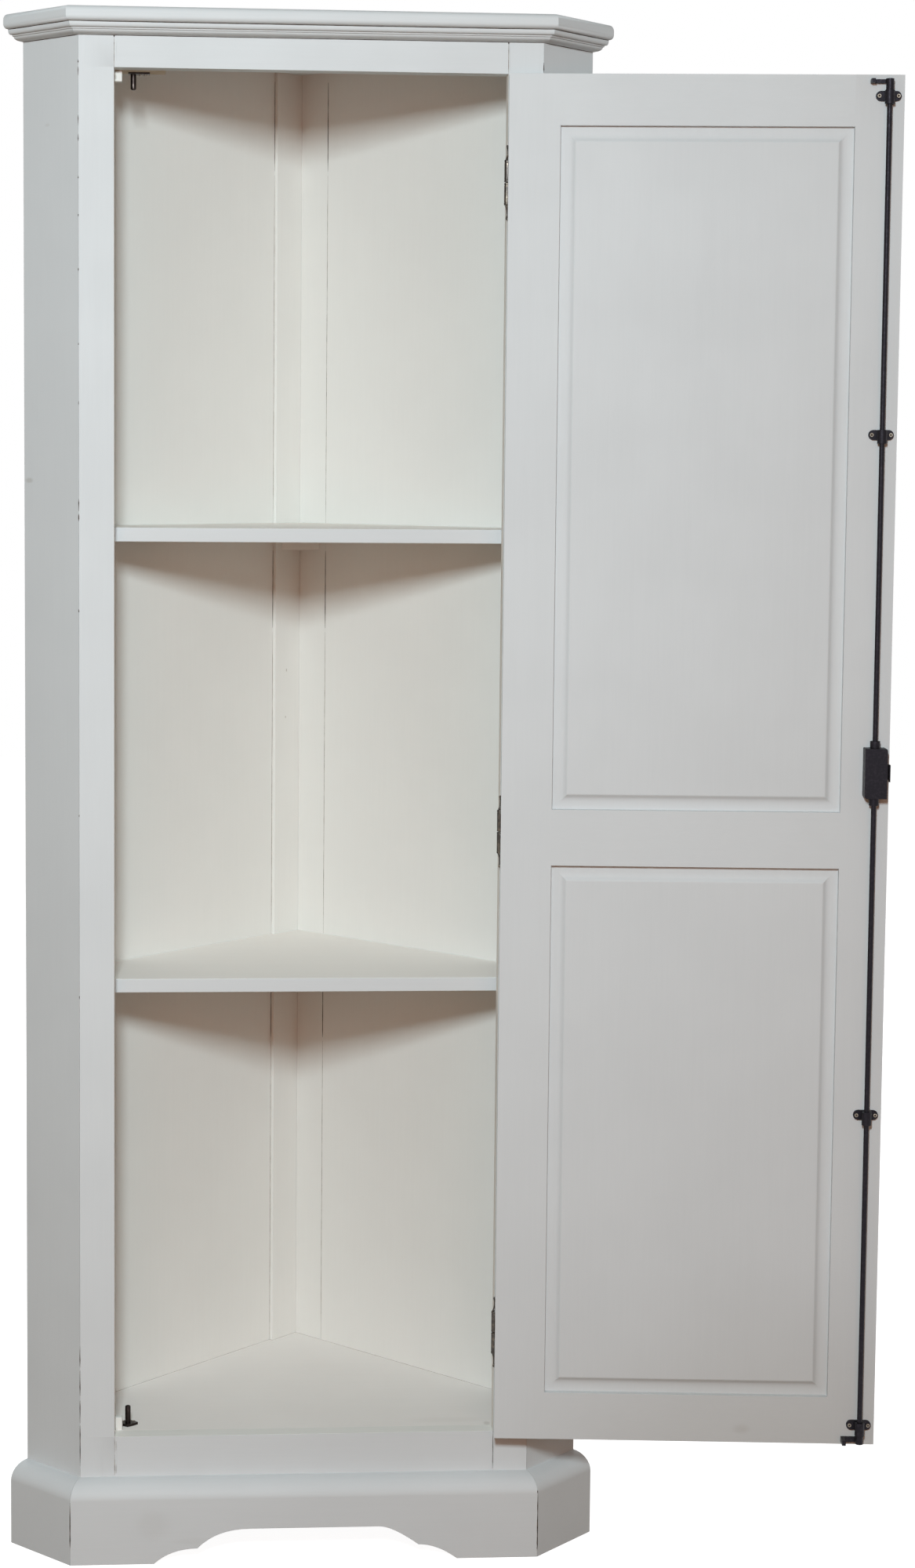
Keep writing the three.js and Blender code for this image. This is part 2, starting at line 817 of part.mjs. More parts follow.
function doorLeaf(label, splitZ) {
  const start = (hingePinRadius + turnClearance + knuckleRadius) / 2;
  const end = hingeAxisProud + leafDepth;
  const plate = block(-hingeInset - leafThickness, -hingeInset, start, end, knuckleGap, leafHeight);
  const leaf = piece(`${label}_hinge_door_leaf`, joined(upperKnuckle(), plate), bronze);
  leaf.position.set(0, 0, splitZ);
  return leaf;
}

// Door, drawn closed, with the hinge axis as its zero and its hinge edge at -hingeInset.
const doorOuterY = hingeAxisProud;
const doorInnerY = hingeAxisProud + doorThickness;
const doorMiddleY = hingeAxisProud + doorThickness / 2;

function doorX(distance) {
  return -hingeInset - distance;
}

const rodX = doorX(doorWidth - rodFromLockEdge);
const rodY = doorInnerY + rodProud;

// A stile's plan: a plain edge on one side and the panel groove in the other.
function grooveStileOutline(plainX, grooveX) {
  const inward = Math.sign(plainX - grooveX);
  const low = doorMiddleY - grooveWidth / 2;
  const high = doorMiddleY + grooveWidth / 2;
  const deepX = grooveX + inward * grooveDepth;
  const points = [
    new THREE.Vector2(plainX, doorOuterY),
    new THREE.Vector2(plainX, doorInnerY),
    new THREE.Vector2(grooveX, doorInnerY),
    new THREE.Vector2(grooveX, high),
    new THREE.Vector2(deepX, high),
    new THREE.Vector2(deepX, low),
    new THREE.Vector2(grooveX, low),
    new THREE.Vector2(grooveX, doorOuterY),
  ];
  return inward > 0 ? points : points.reverse();
}

function leafPocketInDoor(splitZ) {
  return block(
    doorX(leafThickness + joinGap),
    doorX(-cutOverrun),
    doorOuterY - cutOverrun,
    doorOuterY + leafDepth + joinGap,
    splitZ + knuckleGap - joinGap,
    splitZ + leafHeight + joinGap,
  );
}

function doorStiles() {
  const hingeOutline = grooveStileOutline(doorX(0), doorX(hingeStileWidth));
  const lockOutline = grooveStileOutline(doorX(doorWidth), doorX(doorWidth - lockStileWidth));
  const pockets = hingeHeights.map(([, splitZ]) => leafPocketInDoor(splitZ));
  const hingeStile = cutBy(upright(hingeOutline, doorBottom, doorTop), ...pockets);
  const hole = turned([
    [0, doorOuterY - cutOverrun],
    [spindleRadius + turnClearance, doorOuterY - cutOverrun],
    [spindleRadius + turnClearance, doorInnerY + cutOverrun],
    [0, doorInnerY + cutOverrun],
  ], roundSteps);
  hole.rotateX(-quarterTurn).translate(rodX, 0, (caseBottom + caseTop) / 2);
  const lockStile = cutBy(upright(lockOutline, doorBottom, doorTop), hole);
  return [
    piece('door_hinge_stile', hingeStile, paint),
    piece('door_lock_stile', lockStile, paint),
  ];
}

// A rail between the stiles, grooved for the panels, with stub tenons in the stile grooves.
function doorRail(name, bottom, top, grooveBelow, grooveAbove) {
  const nearX = doorX(hingeStileWidth + joinGap);
  const farX = doorX(doorWidth - lockStileWidth - joinGap);
  const low = doorMiddleY - grooveWidth / 2;
  const high = doorMiddleY + grooveWidth / 2;
  const board = block(farX, nearX, doorOuterY, doorInnerY, bottom, top);
  const tenonReach = grooveDepth - joinGap;
  const lowTenon = grooveBelow ? bottom + grooveDepth : bottom;
  const highTenon = grooveAbove ? top - grooveDepth : top;
  const tenon = block(
    farX - tenonReach,
    nearX + tenonReach,
    low + joinGap,
    high - joinGap,
    lowTenon,
    highTenon,
  );
  const farEnd = farX - cutOverrun;
  const nearEnd = nearX + cutOverrun;
  const cutters = [];
  if (grooveBelow) {
    cutters.push(block(farEnd, nearEnd, low, high, bottom - cutOverrun, bottom + grooveDepth));
  }
  if (grooveAbove) {
    cutters.push(block(farEnd, nearEnd, low, high, top - grooveDepth, top + cutOverrun));
  }
  return piece(name, joined(cutBy(board, ...cutters), tenon), paint);
}

// A panel with a raised field on each face and a tongue in the grooves all round.
function panelRing(inset, low, high, y) {
  const reach = grooveDepth - joinGap - joinGap;
  const left = doorX(doorWidth - lockStileWidth + reach - inset);
  const right = doorX(hingeStileWidth - reach + inset);
  const bottom = low - reach + inset;
  const top = high + reach - inset;
  return [
    new THREE.Vector3(left, y, bottom),
    new THREE.Vector3(right, y, bottom),
    new THREE.Vector3(right, y, top),
    new THREE.Vector3(left, y, top),
  ];
}

function doorPanel(name, low, high) {
  const mouthInset = grooveDepth - joinGap - joinGap;
  const fieldInset = mouthInset + fieldMargin;
  const halfPanel = panelThickness / 2;
  const halfTongue = tongueThickness / 2;
  const rings = [
    panelRing(fieldInset, low, high, doorMiddleY + halfPanel),
    panelRing(fieldInset, low, high, doorMiddleY + halfPanel - fieldStep),
    panelRing(mouthInset, low, high, doorMiddleY + halfTongue),
    panelRing(0, low, high, doorMiddleY + halfTongue),
    panelRing(0, low, high, doorMiddleY - halfTongue),
    panelRing(mouthInset, low, high, doorMiddleY - halfTongue),
    panelRing(fieldInset, low, high, doorMiddleY - halfPanel + fieldStep),
    panelRing(fieldInset, low, high, doorMiddleY - halfPanel),
  ];
  return piece(name, stacked(rings), paint);
}

function doorFrame() {
  return [
    ...doorStiles(),
    doorRail('door_top_rail', topRailBottom, doorTop, true, false),
    doorRail('door_lock_rail', lockRailBottom, lockRailTop, true, true),
    doorRail('door_bottom_rail', doorBottom, bottomRailTop, false, true),
    doorPanel('door_upper_panel', lockRailTop, topRailBottom),
    doorPanel('door_lower_panel', bottomRailTop, lockRailBottom),
  ];
}

// Lock case on the inner face, with two rounded corners, and its bolt at the edge side.
function lockCase() {
  const nearX = doorX(doorWidth - caseFromLockEdge - caseWidth);
  const farX = doorX(doorWidth - caseFromLockEdge);
  const shape = new THREE.Shape();
  shape.moveTo(farX, caseBottom);
  shape.lineTo(nearX - caseCorner, caseBottom);
  shape.quadraticCurveTo(nearX, caseBottom, nearX, caseBottom + caseCorner);
  shape.lineTo(nearX, caseTop);
  shape.lineTo(farX + caseCorner, caseTop);
  shape.quadraticCurveTo(farX, caseTop, farX, caseTop - caseCorner);
  const options = { depth: caseDepth, bevelEnabled: false, curveSegments: arcSteps };
  const body = new THREE.ExtrudeGeometry(shape, options);
  body.rotateX(quarterTurn).translate(0, doorInnerY + joinGap + caseDepth, 0);
  const boltLow = caseBottom + boltRise;
  const boltY = doorInnerY + (caseDepth - boltThickness) / 2;
  const bolt = block(
    farX - joinGap - boltLength,
    farX - joinGap,
    boltY,
    boltY + boltThickness,
    boltLow,
    boltLow + boltHeight,
  );
  return [piece('lock_case', body, darkIron), piece('lock_bolt', bolt, darkIron)];
}

// A guide: a saddle round the rod on a plate with round ends, held by two screws.
function guideBody() {
  const plateShape = new THREE.Shape();
  const half = guideHeight / 2;
  const straight = guideWidth / 2 - half;
  plateShape.absarc(straight, 0, half, -quarterTurn, quarterTurn, false);
  plateShape.absarc(-straight, 0, half, quarterTurn, quarterTurn + halfTurn, false);
  for (const side of [-1, 1]) {
    plateShape.holes.push(circleShape(side * screwOffset, 0, screwShankRadius + joinGap));
  }
  const plateOptions = { depth: guideThickness, bevelEnabled: false, curveSegments: arcSteps };
  const plate = new THREE.ExtrudeGeometry(plateShape, plateOptions);
  plate.rotateX(quarterTurn).translate(0, guideThickness + joinGap - rodProud, 0);
  const saddleShape = new THREE.Shape();
  const foot = joinGap - rodProud;
  saddleShape.moveTo(sleeveRadius, foot);
  saddleShape.absarc(0, 0, sleeveRadius, 0, halfTurn, false);
  saddleShape.lineTo(-sleeveRadius, foot);
  saddleShape.holes.push(circleShape(0, 0, rodRadius + turnClearance));
  const saddleHeight = guideHeight + sleeveDrop;
  const saddleOptions = { depth: saddleHeight, bevelEnabled: false, curveSegments: arcSteps };
  const saddle = new THREE.ExtrudeGeometry(saddleShape, saddleOptions);
  saddle.translate(0, 0, -half - sleeveDrop);
  return joined(plate, saddle);
}

function guideScrew() {
  const seat = 0;
  const tip = -guideThickness;
  const points = [[0, tip], [screwShankRadius, tip], [screwShankRadius, seat]];
  for (let step = 0; step <= arcSteps; step += 1) {
    const turn = (step / arcSteps) * quarterTurn;
    points.push([screwHeadRadius * Math.cos(turn), joinGap + screwHeadHeight * Math.sin(turn)]);
  }
  points[points.length - 1][0] = 0;
  points[2][1] = joinGap;
  const headTop = joinGap + screwHeadHeight;
  const slot = block(
    -screwHeadRadius - cutOverrun,
    screwHeadRadius + cutOverrun,
    -screwSlotWidth / 2,
    screwSlotWidth / 2,
    headTop - screwSlotDepth,
    headTop + cutOverrun,
  );
  return cutBy(turned(points, screwSteps), slot);
}

function guideWithScrews(label, z) {
  const guide = piece(`${label}_rod_guide`, guideBody(), darkIron);
  guide.position.set(rodX, rodY, z);
  const screws = [['left', -1], ['right', 1]].map(([side, sign]) => {
    const screw = piece(`${label}_guide_screw_${side}`, guideScrew(), steel);
    const seatY = doorInnerY + joinGap + guideThickness;
    screw.rotation.x = -quarterTurn;
    screw.position.set(rodX + sign * screwOffset, seatY, z);
    return screw;
  });
  return [guide, ...screws];
}

// Rods with a collar where they leave the lock case.
function rodGeometry(length) {
  return turned([
    [0, 0],
    [rodCollarRadius, 0],
    [rodCollarRadius, rodCollarHeight],
    [rodRadius, rodCollarHeight],
    [rodRadius, length],
    [0, length],
  ], roundSteps);
}

// A hook in plan: a boss on the rod, an arm beside it and a lug that closes behind the pin.
function hookShape(lugReach) {
  const armInner = topPinAside + pinRadius + hookPinClearance;
  const armOuter = armInner + hookArmWidth;
  const lugInner = pinBehindRod + pinRadius + hookLugClearance;
  const lugOuter = lugInner + hookLugWidth;
  const shape = new THREE.Shape();
  shape.moveTo(-hookBossRadius, -armOuter);
  shape.lineTo(lugOuter, -armOuter);
  shape.lineTo(lugOuter, lugReach);
  shape.lineTo(lugInner, lugReach);
  shape.lineTo(lugInner, -armInner);
  shape.lineTo(hookBossRadius, -armInner);
  shape.absarc(0, 0, hookBossRadius, 0, halfTurn, false);
  return shape;
}

function hookGeometry(lugReach, plateBottom, plateTop, bossBottom, bossTop) {
  const boreRadius = rodRadius + joinGap;
  const plate = raised(hookShape(lugReach), boreRadius, plateBottom, plateTop);
  const boss = raised(circleShape(0, 0, hookBossRadius), boreRadius, bossBottom, bossTop);
  return joined(plate, boss);
}

function raised(shape, boreRadius, bottom, top) {
  shape.holes.push(circleShape(0, 0, boreRadius));
  const options = { depth: top - bottom, bevelEnabled: false, curveSegments: roundSteps / 2 };
  return new THREE.ExtrudeGeometry(shape, options).translate(0, 0, bottom);
}

function rodsAndHooks() {
  const group = new THREE.Group();
  group.position.set(rodX, rodY, 0);
  const topBossLow = topGuideZ + guideHeight / 2 + joinGap;
  const topEnd = topBossLow + topHookBossHeight;
  const lowBossHigh = bottomGuideZ - guideHeight / 2 - sleeveDrop - joinGap;
  const lowEnd = lowBossHigh - bottomHookBossHeight;
  const upperStart = caseTop + joinGap;
  const lowerStart = caseBottom - joinGap;
  const upper = rodGeometry(topEnd - upperStart).translate(0, 0, upperStart);
  const lower = rodGeometry(lowerStart - lowEnd).rotateX(halfTurn).translate(0, 0, lowerStart);
  const topHook = hookGeometry(topLugReach, topEnd - topHookHeight, topEnd, topBossLow, topEnd);
  const lowTop = lowEnd + bottomHookHeight;
  const lowHook = hookGeometry(bottomLugReach, lowEnd, lowTop, lowEnd, lowBossHigh);
  group.add(piece('upper_rod', upper, darkIron));
  group.add(piece('lower_rod', lower, darkIron));
  group.add(piece('top_hook', topHook, darkIron));
  group.add(piece('bottom_hook', lowHook, darkIron));
  return group;
}

// Knob on the outer face: a round rose, and an oval grip on a spindle that reaches the lock.
function knobRose() {
  const hole = spindleRadius + turnClearance;
  const rose = turned([
    [hole, 0],
    [roseRadius, 0],
    [roseRadius - roseThickness / 2, roseThickness],
    [hole, roseThickness],
    [hole, 0],
  ], roundSteps);
  rose.rotateX(quarterTurn);
  const mesh = piece('knob_rose', rose, bronze);
  mesh.position.set(rodX, doorOuterY - joinGap, (caseBottom + caseTop) / 2);
  return mesh;
}

function turnKnob() {
  const group = new THREE.Group();
  group.position.set(rodX, doorOuterY, (caseBottom + caseTop) / 2);
  const spindle = turned([
    [0, -doorThickness],
    [spindleRadius, -doorThickness],
    [spindleRadius, roseThickness + knobNeck],
    [0, roseThickness + knobNeck],
  ], roundSteps);
  const grip = new THREE.SphereGeometry(1, roundSteps, roundSteps / 2);
  grip.scale(knobBreadth / 2, knobLength / 2, knobThickness / 2);
  grip.translate(0, 0, roseThickness + knobNeck);
  const knob = joined(spindle, grip).rotateX(quarterTurn);
  group.add(piece('turn_knob', knob, bronze));
  return group;
}

// The hung door and everything on it, turned about the hinge axis.
function hungDoor() {
  const door = new THREE.Group();
  door.position.set(hingeAxisX, hingeAxisY, 0);
  door.rotation.z = doorOpenAngle;
  door.add(...doorFrame());
  door.add(...hingeHeights.map(([label, splitZ]) => doorLeaf(label, splitZ)));
  door.add(...lockCase());
  door.add(...guideWithScrews('top', topGuideZ));
  door.add(...guideWithScrews('upper', upperGuideZ));
  door.add(...guideWithScrews('lower', lowerGuideZ));
  door.add(...guideWithScrews('bottom', bottomGuideZ));
  door.add(rodsAndHooks());
  door.add(knobRose());
  door.add(turnKnob());
  return door;
}

const cupboard = new THREE.Group();
cupboard.position.set(0, originSetback, 0);
cupboard.add(...frontStiles());
cupboard.add(faceRail('face_top_rail', doorwayTop, capBottom));
cupboard.add(faceRail('face_bottom_rail', floorTop - bottomRailHeight, floorTop));
cupboard.add(...sidesAndBack());
cupboard.add(cornerCap());
cupboard.add(...mouldings());
cupboard.add(...plinthBoards());
cupboard.add(...floorAndShelves());
cupboard.add(...blocks());
cupboard.add(topKeep());
cupboard.add(bottomKeep());
cupboard.add(...hingeHeights.map(([label, splitZ]) => frameLeaf(label, splitZ)));
cupboard.add(hungDoor());

export default cupboard;
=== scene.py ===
# %% [markdown]
# # A painted corner cupboard
# This notebook dresses the measured solids of a corner cupboard: it softens the edges that a
# plane and many coats of paint have rounded, fits the ironwork, and gives each surface a finish
# made of nodes. The solids come first, because everything else is placed by them.

# %% The measured frame
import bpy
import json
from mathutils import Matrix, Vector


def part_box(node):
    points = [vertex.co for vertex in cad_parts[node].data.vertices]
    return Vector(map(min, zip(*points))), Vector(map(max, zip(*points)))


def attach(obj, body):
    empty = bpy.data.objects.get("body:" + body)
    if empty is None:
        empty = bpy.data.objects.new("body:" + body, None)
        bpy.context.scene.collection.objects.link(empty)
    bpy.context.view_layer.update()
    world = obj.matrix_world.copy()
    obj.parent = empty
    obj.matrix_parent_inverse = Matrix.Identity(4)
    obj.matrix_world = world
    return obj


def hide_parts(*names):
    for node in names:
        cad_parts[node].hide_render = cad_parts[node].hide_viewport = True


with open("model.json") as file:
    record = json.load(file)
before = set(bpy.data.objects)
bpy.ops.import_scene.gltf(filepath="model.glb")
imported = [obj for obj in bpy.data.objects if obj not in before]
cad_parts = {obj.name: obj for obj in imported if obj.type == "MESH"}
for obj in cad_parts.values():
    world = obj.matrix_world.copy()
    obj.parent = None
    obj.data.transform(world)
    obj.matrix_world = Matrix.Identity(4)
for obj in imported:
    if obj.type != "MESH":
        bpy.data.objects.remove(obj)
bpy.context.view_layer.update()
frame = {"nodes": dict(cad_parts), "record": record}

import json
import math

import bmesh
import bpy
from mathutils import Matrix, Vector
from mathutils.bvhtree import BVHTree

MM = 0.001

# %% [markdown]
# ## Camera
# The photograph was taken from a little above the middle of the cupboard, almost straight on.
# The lens and the place of the camera were fitted to the straight edges of the boards, so the
# numbers are used as they are. A small lens shift moves the frame, as cropping does.

# %% Camera
IMAGE_WIDTH, IMAGE_HEIGHT = 1167, 2000
FOCAL_PIXELS = 3493.1
CENTRE_X, CENTRE_Y = 482.01, 888.43
CAMERA_PLACE = Vector((-0.14095, -3.74608, 1.35876))
CAMERA_YAW, CAMERA_PITCH, CAMERA_ROLL = (math.radians(a) for a in (-3.8719, 4.7925, 0.4409))


def camera_axes(yaw, pitch, roll):
    """The camera's right, up and backward directions."""
    forward = Vector((-math.sin(yaw) * math.cos(pitch), math.cos(yaw) * math.cos(pitch), -math.sin(pitch)))
    right = Vector((math.cos(yaw), math.sin(yaw), 0))
    up = right.cross(forward)
    turned_right = math.cos(roll) * right + math.sin(roll) * up
    turned_up = math.cos(roll) * up - math.sin(roll) * right
    return turned_right, turned_up, -forward


def photographer():
    lens = bpy.data.cameras.new("photo_camera")
    lens.sensor_width = 36
    lens.lens = FOCAL_PIXELS / IMAGE_HEIGHT * lens.sensor_width
    lens.shift_x = (IMAGE_WIDTH / 2 - CENTRE_X) / IMAGE_HEIGHT
    lens.shift_y = (CENTRE_Y - IMAGE_HEIGHT / 2) / IMAGE_HEIGHT
    lens.clip_start, lens.clip_end = 0.1, 50
    camera = bpy.data.objects.new("photo_camera", lens)
    axes = Matrix(camera_axes(CAMERA_YAW, CAMERA_PITCH, CAMERA_ROLL)).transposed()
    camera.matrix_world = Matrix.Translation(CAMERA_PLACE) @ axes.to_4x4()
    bpy.context.scene.collection.objects.link(camera)
    bpy.context.scene.camera = camera
    print("lens", round(lens.lens, 2), "mm, shift", round(lens.shift_x, 4), round(lens.shift_y, 4))


photographer()

# %% [markdown]
# ## Values on wires
# A finish is a net of nodes, and most of the net is sums. One small class wraps a socket, so that
# a sum can be written as a sum: `1 - mask * 0.4` adds the Math nodes by itself. The finish makes
# every other node by one method, which sets the node up first and then feeds its sockets.

# %% Wires
class Wire:
    """A value inside a net. Sums between wires and numbers add Math nodes."""

    def __init__(self, net, socket):
        self.net = net
        self.socket = socket

    def maths(self, operation, first, second):
        return self.net.node("ShaderNodeMath", {"operation": operation}, {0: first, 1: second})

    def __add__(self, other):
        return self.maths("ADD", self, other)

    def __sub__(self, other):
        return self.maths("SUBTRACT", self, other)

    def __mul__(self, other):
        return self.maths("MULTIPLY", self, other)

    def __truediv__(self, other):
        return self.maths("DIVIDE", self, other)

    def __pow__(self, other):
        return self.maths("POWER", self, other)

    def __radd__(self, other):
        return self.maths("ADD", other, self)

    def __rsub__(self, other):
        return self.maths("SUBTRACT", other, self)

    def __rmul__(self, other):
        return self.maths("MULTIPLY", other, self)

    def __rtruediv__(self, other):
        return self.maths("DIVIDE", other, self)

    def __rpow__(self, other):
        return self.maths("POWER", other, self)

    def either(self, other):
        return self.maths("MAXIMUM", self, other)

    def branch(self, out):
        """Another output of the node that made this wire."""
        return Wire(self.net, self.socket.node.outputs[out])

    def ramp(self, low, high, start=0.0, end=1.0):
        """A soft step from start to end while the value goes from low to high."""
        settings = {"interpolation_type": "SMOOTHSTEP"}
        return self.net.node("ShaderNodeMapRange", settings, {0: self, 1: low, 2: high, 3: start, 4: end})


print("beside + - * / and **, a wire has:", [name for name in vars(Wire) if not name.startswith("_")])


# %% [markdown]
# ## Nets and finishes
# A net is a set of nodes on a material or on the world. Every node is made by its one method,
# `node`, so the settings that change a node's sockets always come before the sockets. A finish is
# a net with one surface shader. It knows the place of each point on the object, in metres, so a
# pattern or a mark can be put where the real piece has it.

# %% Nets and finishes
class Net:
    def __init__(self, tree):
        self.tree = tree

    def node(self, kind, settings, sockets, out=0):
        made = self.tree.nodes.new(kind)
        for key, value in settings.items():
            setattr(made, key, value)
        for key, value in sockets.items():
            if isinstance(value, Wire):
                self.tree.links.new(value.socket, made.inputs[key])
            else:
                made.inputs[key].default_value = value
        return Wire(self, made.outputs[out]) if made.outputs else made

    def seen_directly(self):
        """1 for rays that the camera or a reflection sees, 0 for rays that carry light."""
        camera = self.node("ShaderNodeLightPath", {}, {}, "Is Camera Ray")
        return camera.either(camera.branch("Is Glossy Ray")).either(camera.branch("Is Transmission Ray"))


class Finish(Net):
    """A material with one surface shader, fed by wires."""

    def __init__(self, name, **numbers):
        self.material = bpy.data.materials.new(name)
        self.material.use_nodes = True
        super().__init__(self.material.node_tree)
        self.surface = self.tree.nodes["Principled BSDF"]
        for socket, value in numbers.items():
            self.surface.inputs[socket.replace("_", " ")].default_value = value
        self.place = self.node("ShaderNodeTexCoord", {}, {}, "Object")
        across = self.node("ShaderNodeSeparateXYZ", {}, {0: self.place})
        self.axes = [across, across.branch(1), across.branch(2)]

    def mix(self, mask, low, high):
        """A colour between two colours."""
        return self.node("ShaderNodeMix", {"data_type": "RGBA"}, {0: mask, 6: low, 7: high}, 2)

    def noise(self, scale, stretch=(1, 1, 1), detail=2.0, rough=0.5, shift=(0, 0, 0)):
        place = self.node("ShaderNodeMapping", {}, {0: self.place, 1: shift, 3: stretch})
        return self.node("ShaderNodeTexNoise", {}, {0: place, 2: scale, 3: detail, 4: rough})

    def bump(self, height, depth, strength=1.0):
        return self.node("ShaderNodeBump", {}, {"Strength": strength, "Distance": depth, "Height": height})

    def facing(self, axis):
        """How far a point's surface is turned towards +x, +y or +z, from -1 to 1."""
        geometry = self.node("ShaderNodeNewGeometry", {}, {}, "Normal")
        return self.node("ShaderNodeSeparateXYZ", {}, {0: geometry}, axis)

    def spot(self, centre, spread, ragged=0.5):
        """A spot for marks and painted shade, with an uneven edge: 1 at its centre, 0 outside, sizes in mm.
        """
        ways = [(way - middle * MM) / (reach * MM) for way, middle, reach in zip(self.axes, centre, spread)]
        distance = (ways[0] * ways[0] + ways[1] * ways[1] + ways[2] * ways[2]) ** 0.5
        uneven = self.noise(900 / max(spread), detail=2) - 0.5
        return (distance + uneven * ragged).ramp(1.1, 0.3)

    def feed(self, **wires):
        for socket, wire in wires.items():
            self.tree.links.new(wire.socket, self.surface.inputs[socket.replace("_", " ")])
        return self.material


def shade(red, green, blue):
    return (red, green, blue, 1.0)


print("a finish can use:", [name for name in vars(Finish) if not name.startswith("_")])


# %% [markdown]
# ## Light
# One soft lamp stands above the camera, a little higher than the cupboard: the shadows under the
# shelves show its height and its distance, and the narrow shadow beside the left jamb shows how
# far to the side it is. It is aimed past the left side, so the door gets a little less. Behind the
# camera a wide, weak and warm lamp stands for the light of the room, which also reaches under the
# shelves. A third lamp stands behind the cupboard and lights its back. These two are kept out of
# sight of the camera and of reflections. The tone of the room's lamp was fitted to the brown of
# the shadows inside.

# %% Lamps
LAMP_PLACE, LAMP_AIM = Vector((-0.3, -3.5, 2.19)), Vector((-2.32, -0.41, 0.948))
LAMP_SIZE, LAMP_POWER, LAMP_TONE = (0.4, 0.45), 108, (0.86, 0.99, 1.05)
ROOM_PLACE, ROOM_AIM = Vector((0, -4.4, 1.2)), Vector((0, -0.4, 1.0))
ROOM_SIZE, ROOM_POWER, ROOM_TONE = (3.0, 2.0), 22, (1.0, 0.3, 0.1)
BACK_PLACE, BACK_AIM = Vector((0.2, 4.2, 2.6)), Vector((0.1, -0.2, 0.9))
BACK_SIZE, BACK_POWER, BACK_TONE = (2.4, 1.6), 110, (0.95, 1.0, 1.04)


def studio_lamp(name, place, aim, size, power, tone):
    light = bpy.data.lights.new(name, "AREA")
    light.shape, light.size, light.size_y = "RECTANGLE", size[0], size[1]
    light.energy, light.color = power, tone
    lamp = bpy.data.objects.new(name, light)
    lamp.location = place
    lamp.rotation_euler = (aim - place).to_track_quat("-Z", "Y").to_euler()
    bpy.context.scene.collection.objects.link(lamp)
    return lamp


studio_lamp("studio_lamp", LAMP_PLACE, LAMP_AIM, LAMP_SIZE, LAMP_POWER, LAMP_TONE)
room = studio_lamp("room_light", ROOM_PLACE, ROOM_AIM, ROOM_SIZE, ROOM_POWER, ROOM_TONE)
back = studio_lamp("back_light", BACK_PLACE, BACK_AIM, BACK_SIZE, BACK_POWER, BACK_TONE)
for unseen in (room, back):
    unseen.visible_camera = unseen.visible_glossy = unseen.visible_transmission = False
bpy.context.scene.view_settings.view_transform = "Standard"
print("lamps of", LAMP_POWER, ROOM_POWER, "and", BACK_POWER, "W")

# %% [markdown]
# ## World and floor
# The camera sees white behind the object, and so does a reflection. Rays that carry light see a
# weak warm world instead: a Mix Shader chooses between the two by the kind of ray. The floor is
# made the same way, so its shade on white stays faint, while the light that it throws back up
# is warm, as from a wooden floor.

# %% World and floor
AMBIENT_TONE = shade(1.0, 0.95, 0.85)
AMBIENT_STRENGTH = 0.18
FLOOR_REACH, FLOOR_DROP = 9, 0.5 * MM
FLOOR_THROWN_BACK = shade(0.182, 0.13, 0.078)
FLOOR_PALE, FLOOR_GLOW = shade(0.5, 0.5, 0.5), 0.95


def studio_world():
    world = bpy.data.worlds.new("studio")
    bpy.context.scene.world = world
    world.use_nodes = True
    world.node_tree.nodes.clear()
    net = Net(world.node_tree)
    weak = net.node("ShaderNodeBackground", {}, {"Color": AMBIENT_TONE, "Strength": AMBIENT_STRENGTH})
    white = net.node("ShaderNodeBackground", {}, {"Color": shade(1, 1, 1), "Strength": 1})
    seen = net.node("ShaderNodeMixShader", {}, {0: net.seen_directly(), 1: weak, 2: white})
    net.node("ShaderNodeOutputWorld", {}, {"Surface": seen})


def floor_finish():
    material = bpy.data.materials.new("pale_floor")
    material.use_nodes = True
    material.node_tree.nodes.clear()
    net = Net(material.node_tree)
    thrown = net.node("ShaderNodeBsdfDiffuse", {}, {"Color": FLOOR_THROWN_BACK})
    pale = net.node("ShaderNodeBsdfDiffuse", {}, {"Color": FLOOR_PALE})
    glow = net.node("ShaderNodeEmission", {}, {"Strength": FLOOR_GLOW})
    white = net.node("ShaderNodeAddShader", {}, {0: pale, 1: glow})
    seen = net.node("ShaderNodeMixShader", {}, {0: net.seen_directly(), 1: thrown, 2: white})
    net.node("ShaderNodeOutputMaterial", {}, {"Surface": seen})
    return material


def studio_floor():
    mesh = bmesh.new()
    bmesh.ops.create_grid(mesh, x_segments=2, y_segments=2, size=FLOOR_REACH)
    data = bpy.data.meshes.new("studio_floor")
    mesh.to_mesh(data)
    mesh.free()
    floor = bpy.data.objects.new("studio_floor", data)
    floor.location.z = -FLOOR_DROP
    data.materials.append(floor_finish())
    bpy.context.scene.collection.objects.link(floor)


studio_world()
studio_floor()
print("world and floor are white to the camera")

# %% [markdown]
# ## Paint
# The wood carries many coats of pale grey paint, laid on with a brush along each board. Seen
# close, the strokes are ridges less than a tenth of a millimetre high. Seen from a step away,
# they only break up the shine. The colour drifts a little over a hand's breadth, as old paint
# does, so a finish mixes two near shades by a wide noise and darkens them by the strokes. The
# tops of the shelves and the sides of the door opening are a paler cream. That tone is fitted to
# how light they are in the photograph, and nothing else proves that their paint is another one.
# Their paleness is painted light on faces that turn up or into the opening; the cream tint on the
# sides of the opening is the inner paint's. A board with several shades takes them by the way its
# surface is turned.

# %% Paint finishes
ALONG = {"z": (1, 1, 0.022), "x": (0.022, 1, 1)}
OUTER = shade(0.645, 0.665, 0.668)
INNER = shade(0.764, 0.76, 0.721)
# A paler cream: painted light on faces that turn up or into the door opening.
PAINTED_LIGHT_CREAM = shade(0.87, 0.835, 0.785)
# The colour of the dirt marks, and of the painted shade at the foot of the door.
SOIL_AND_PAINTED_SHADE = shade(0.3, 0.26, 0.2)


def darker(tone, share):
    return shade(*(channel * share for channel in tone[:3]))


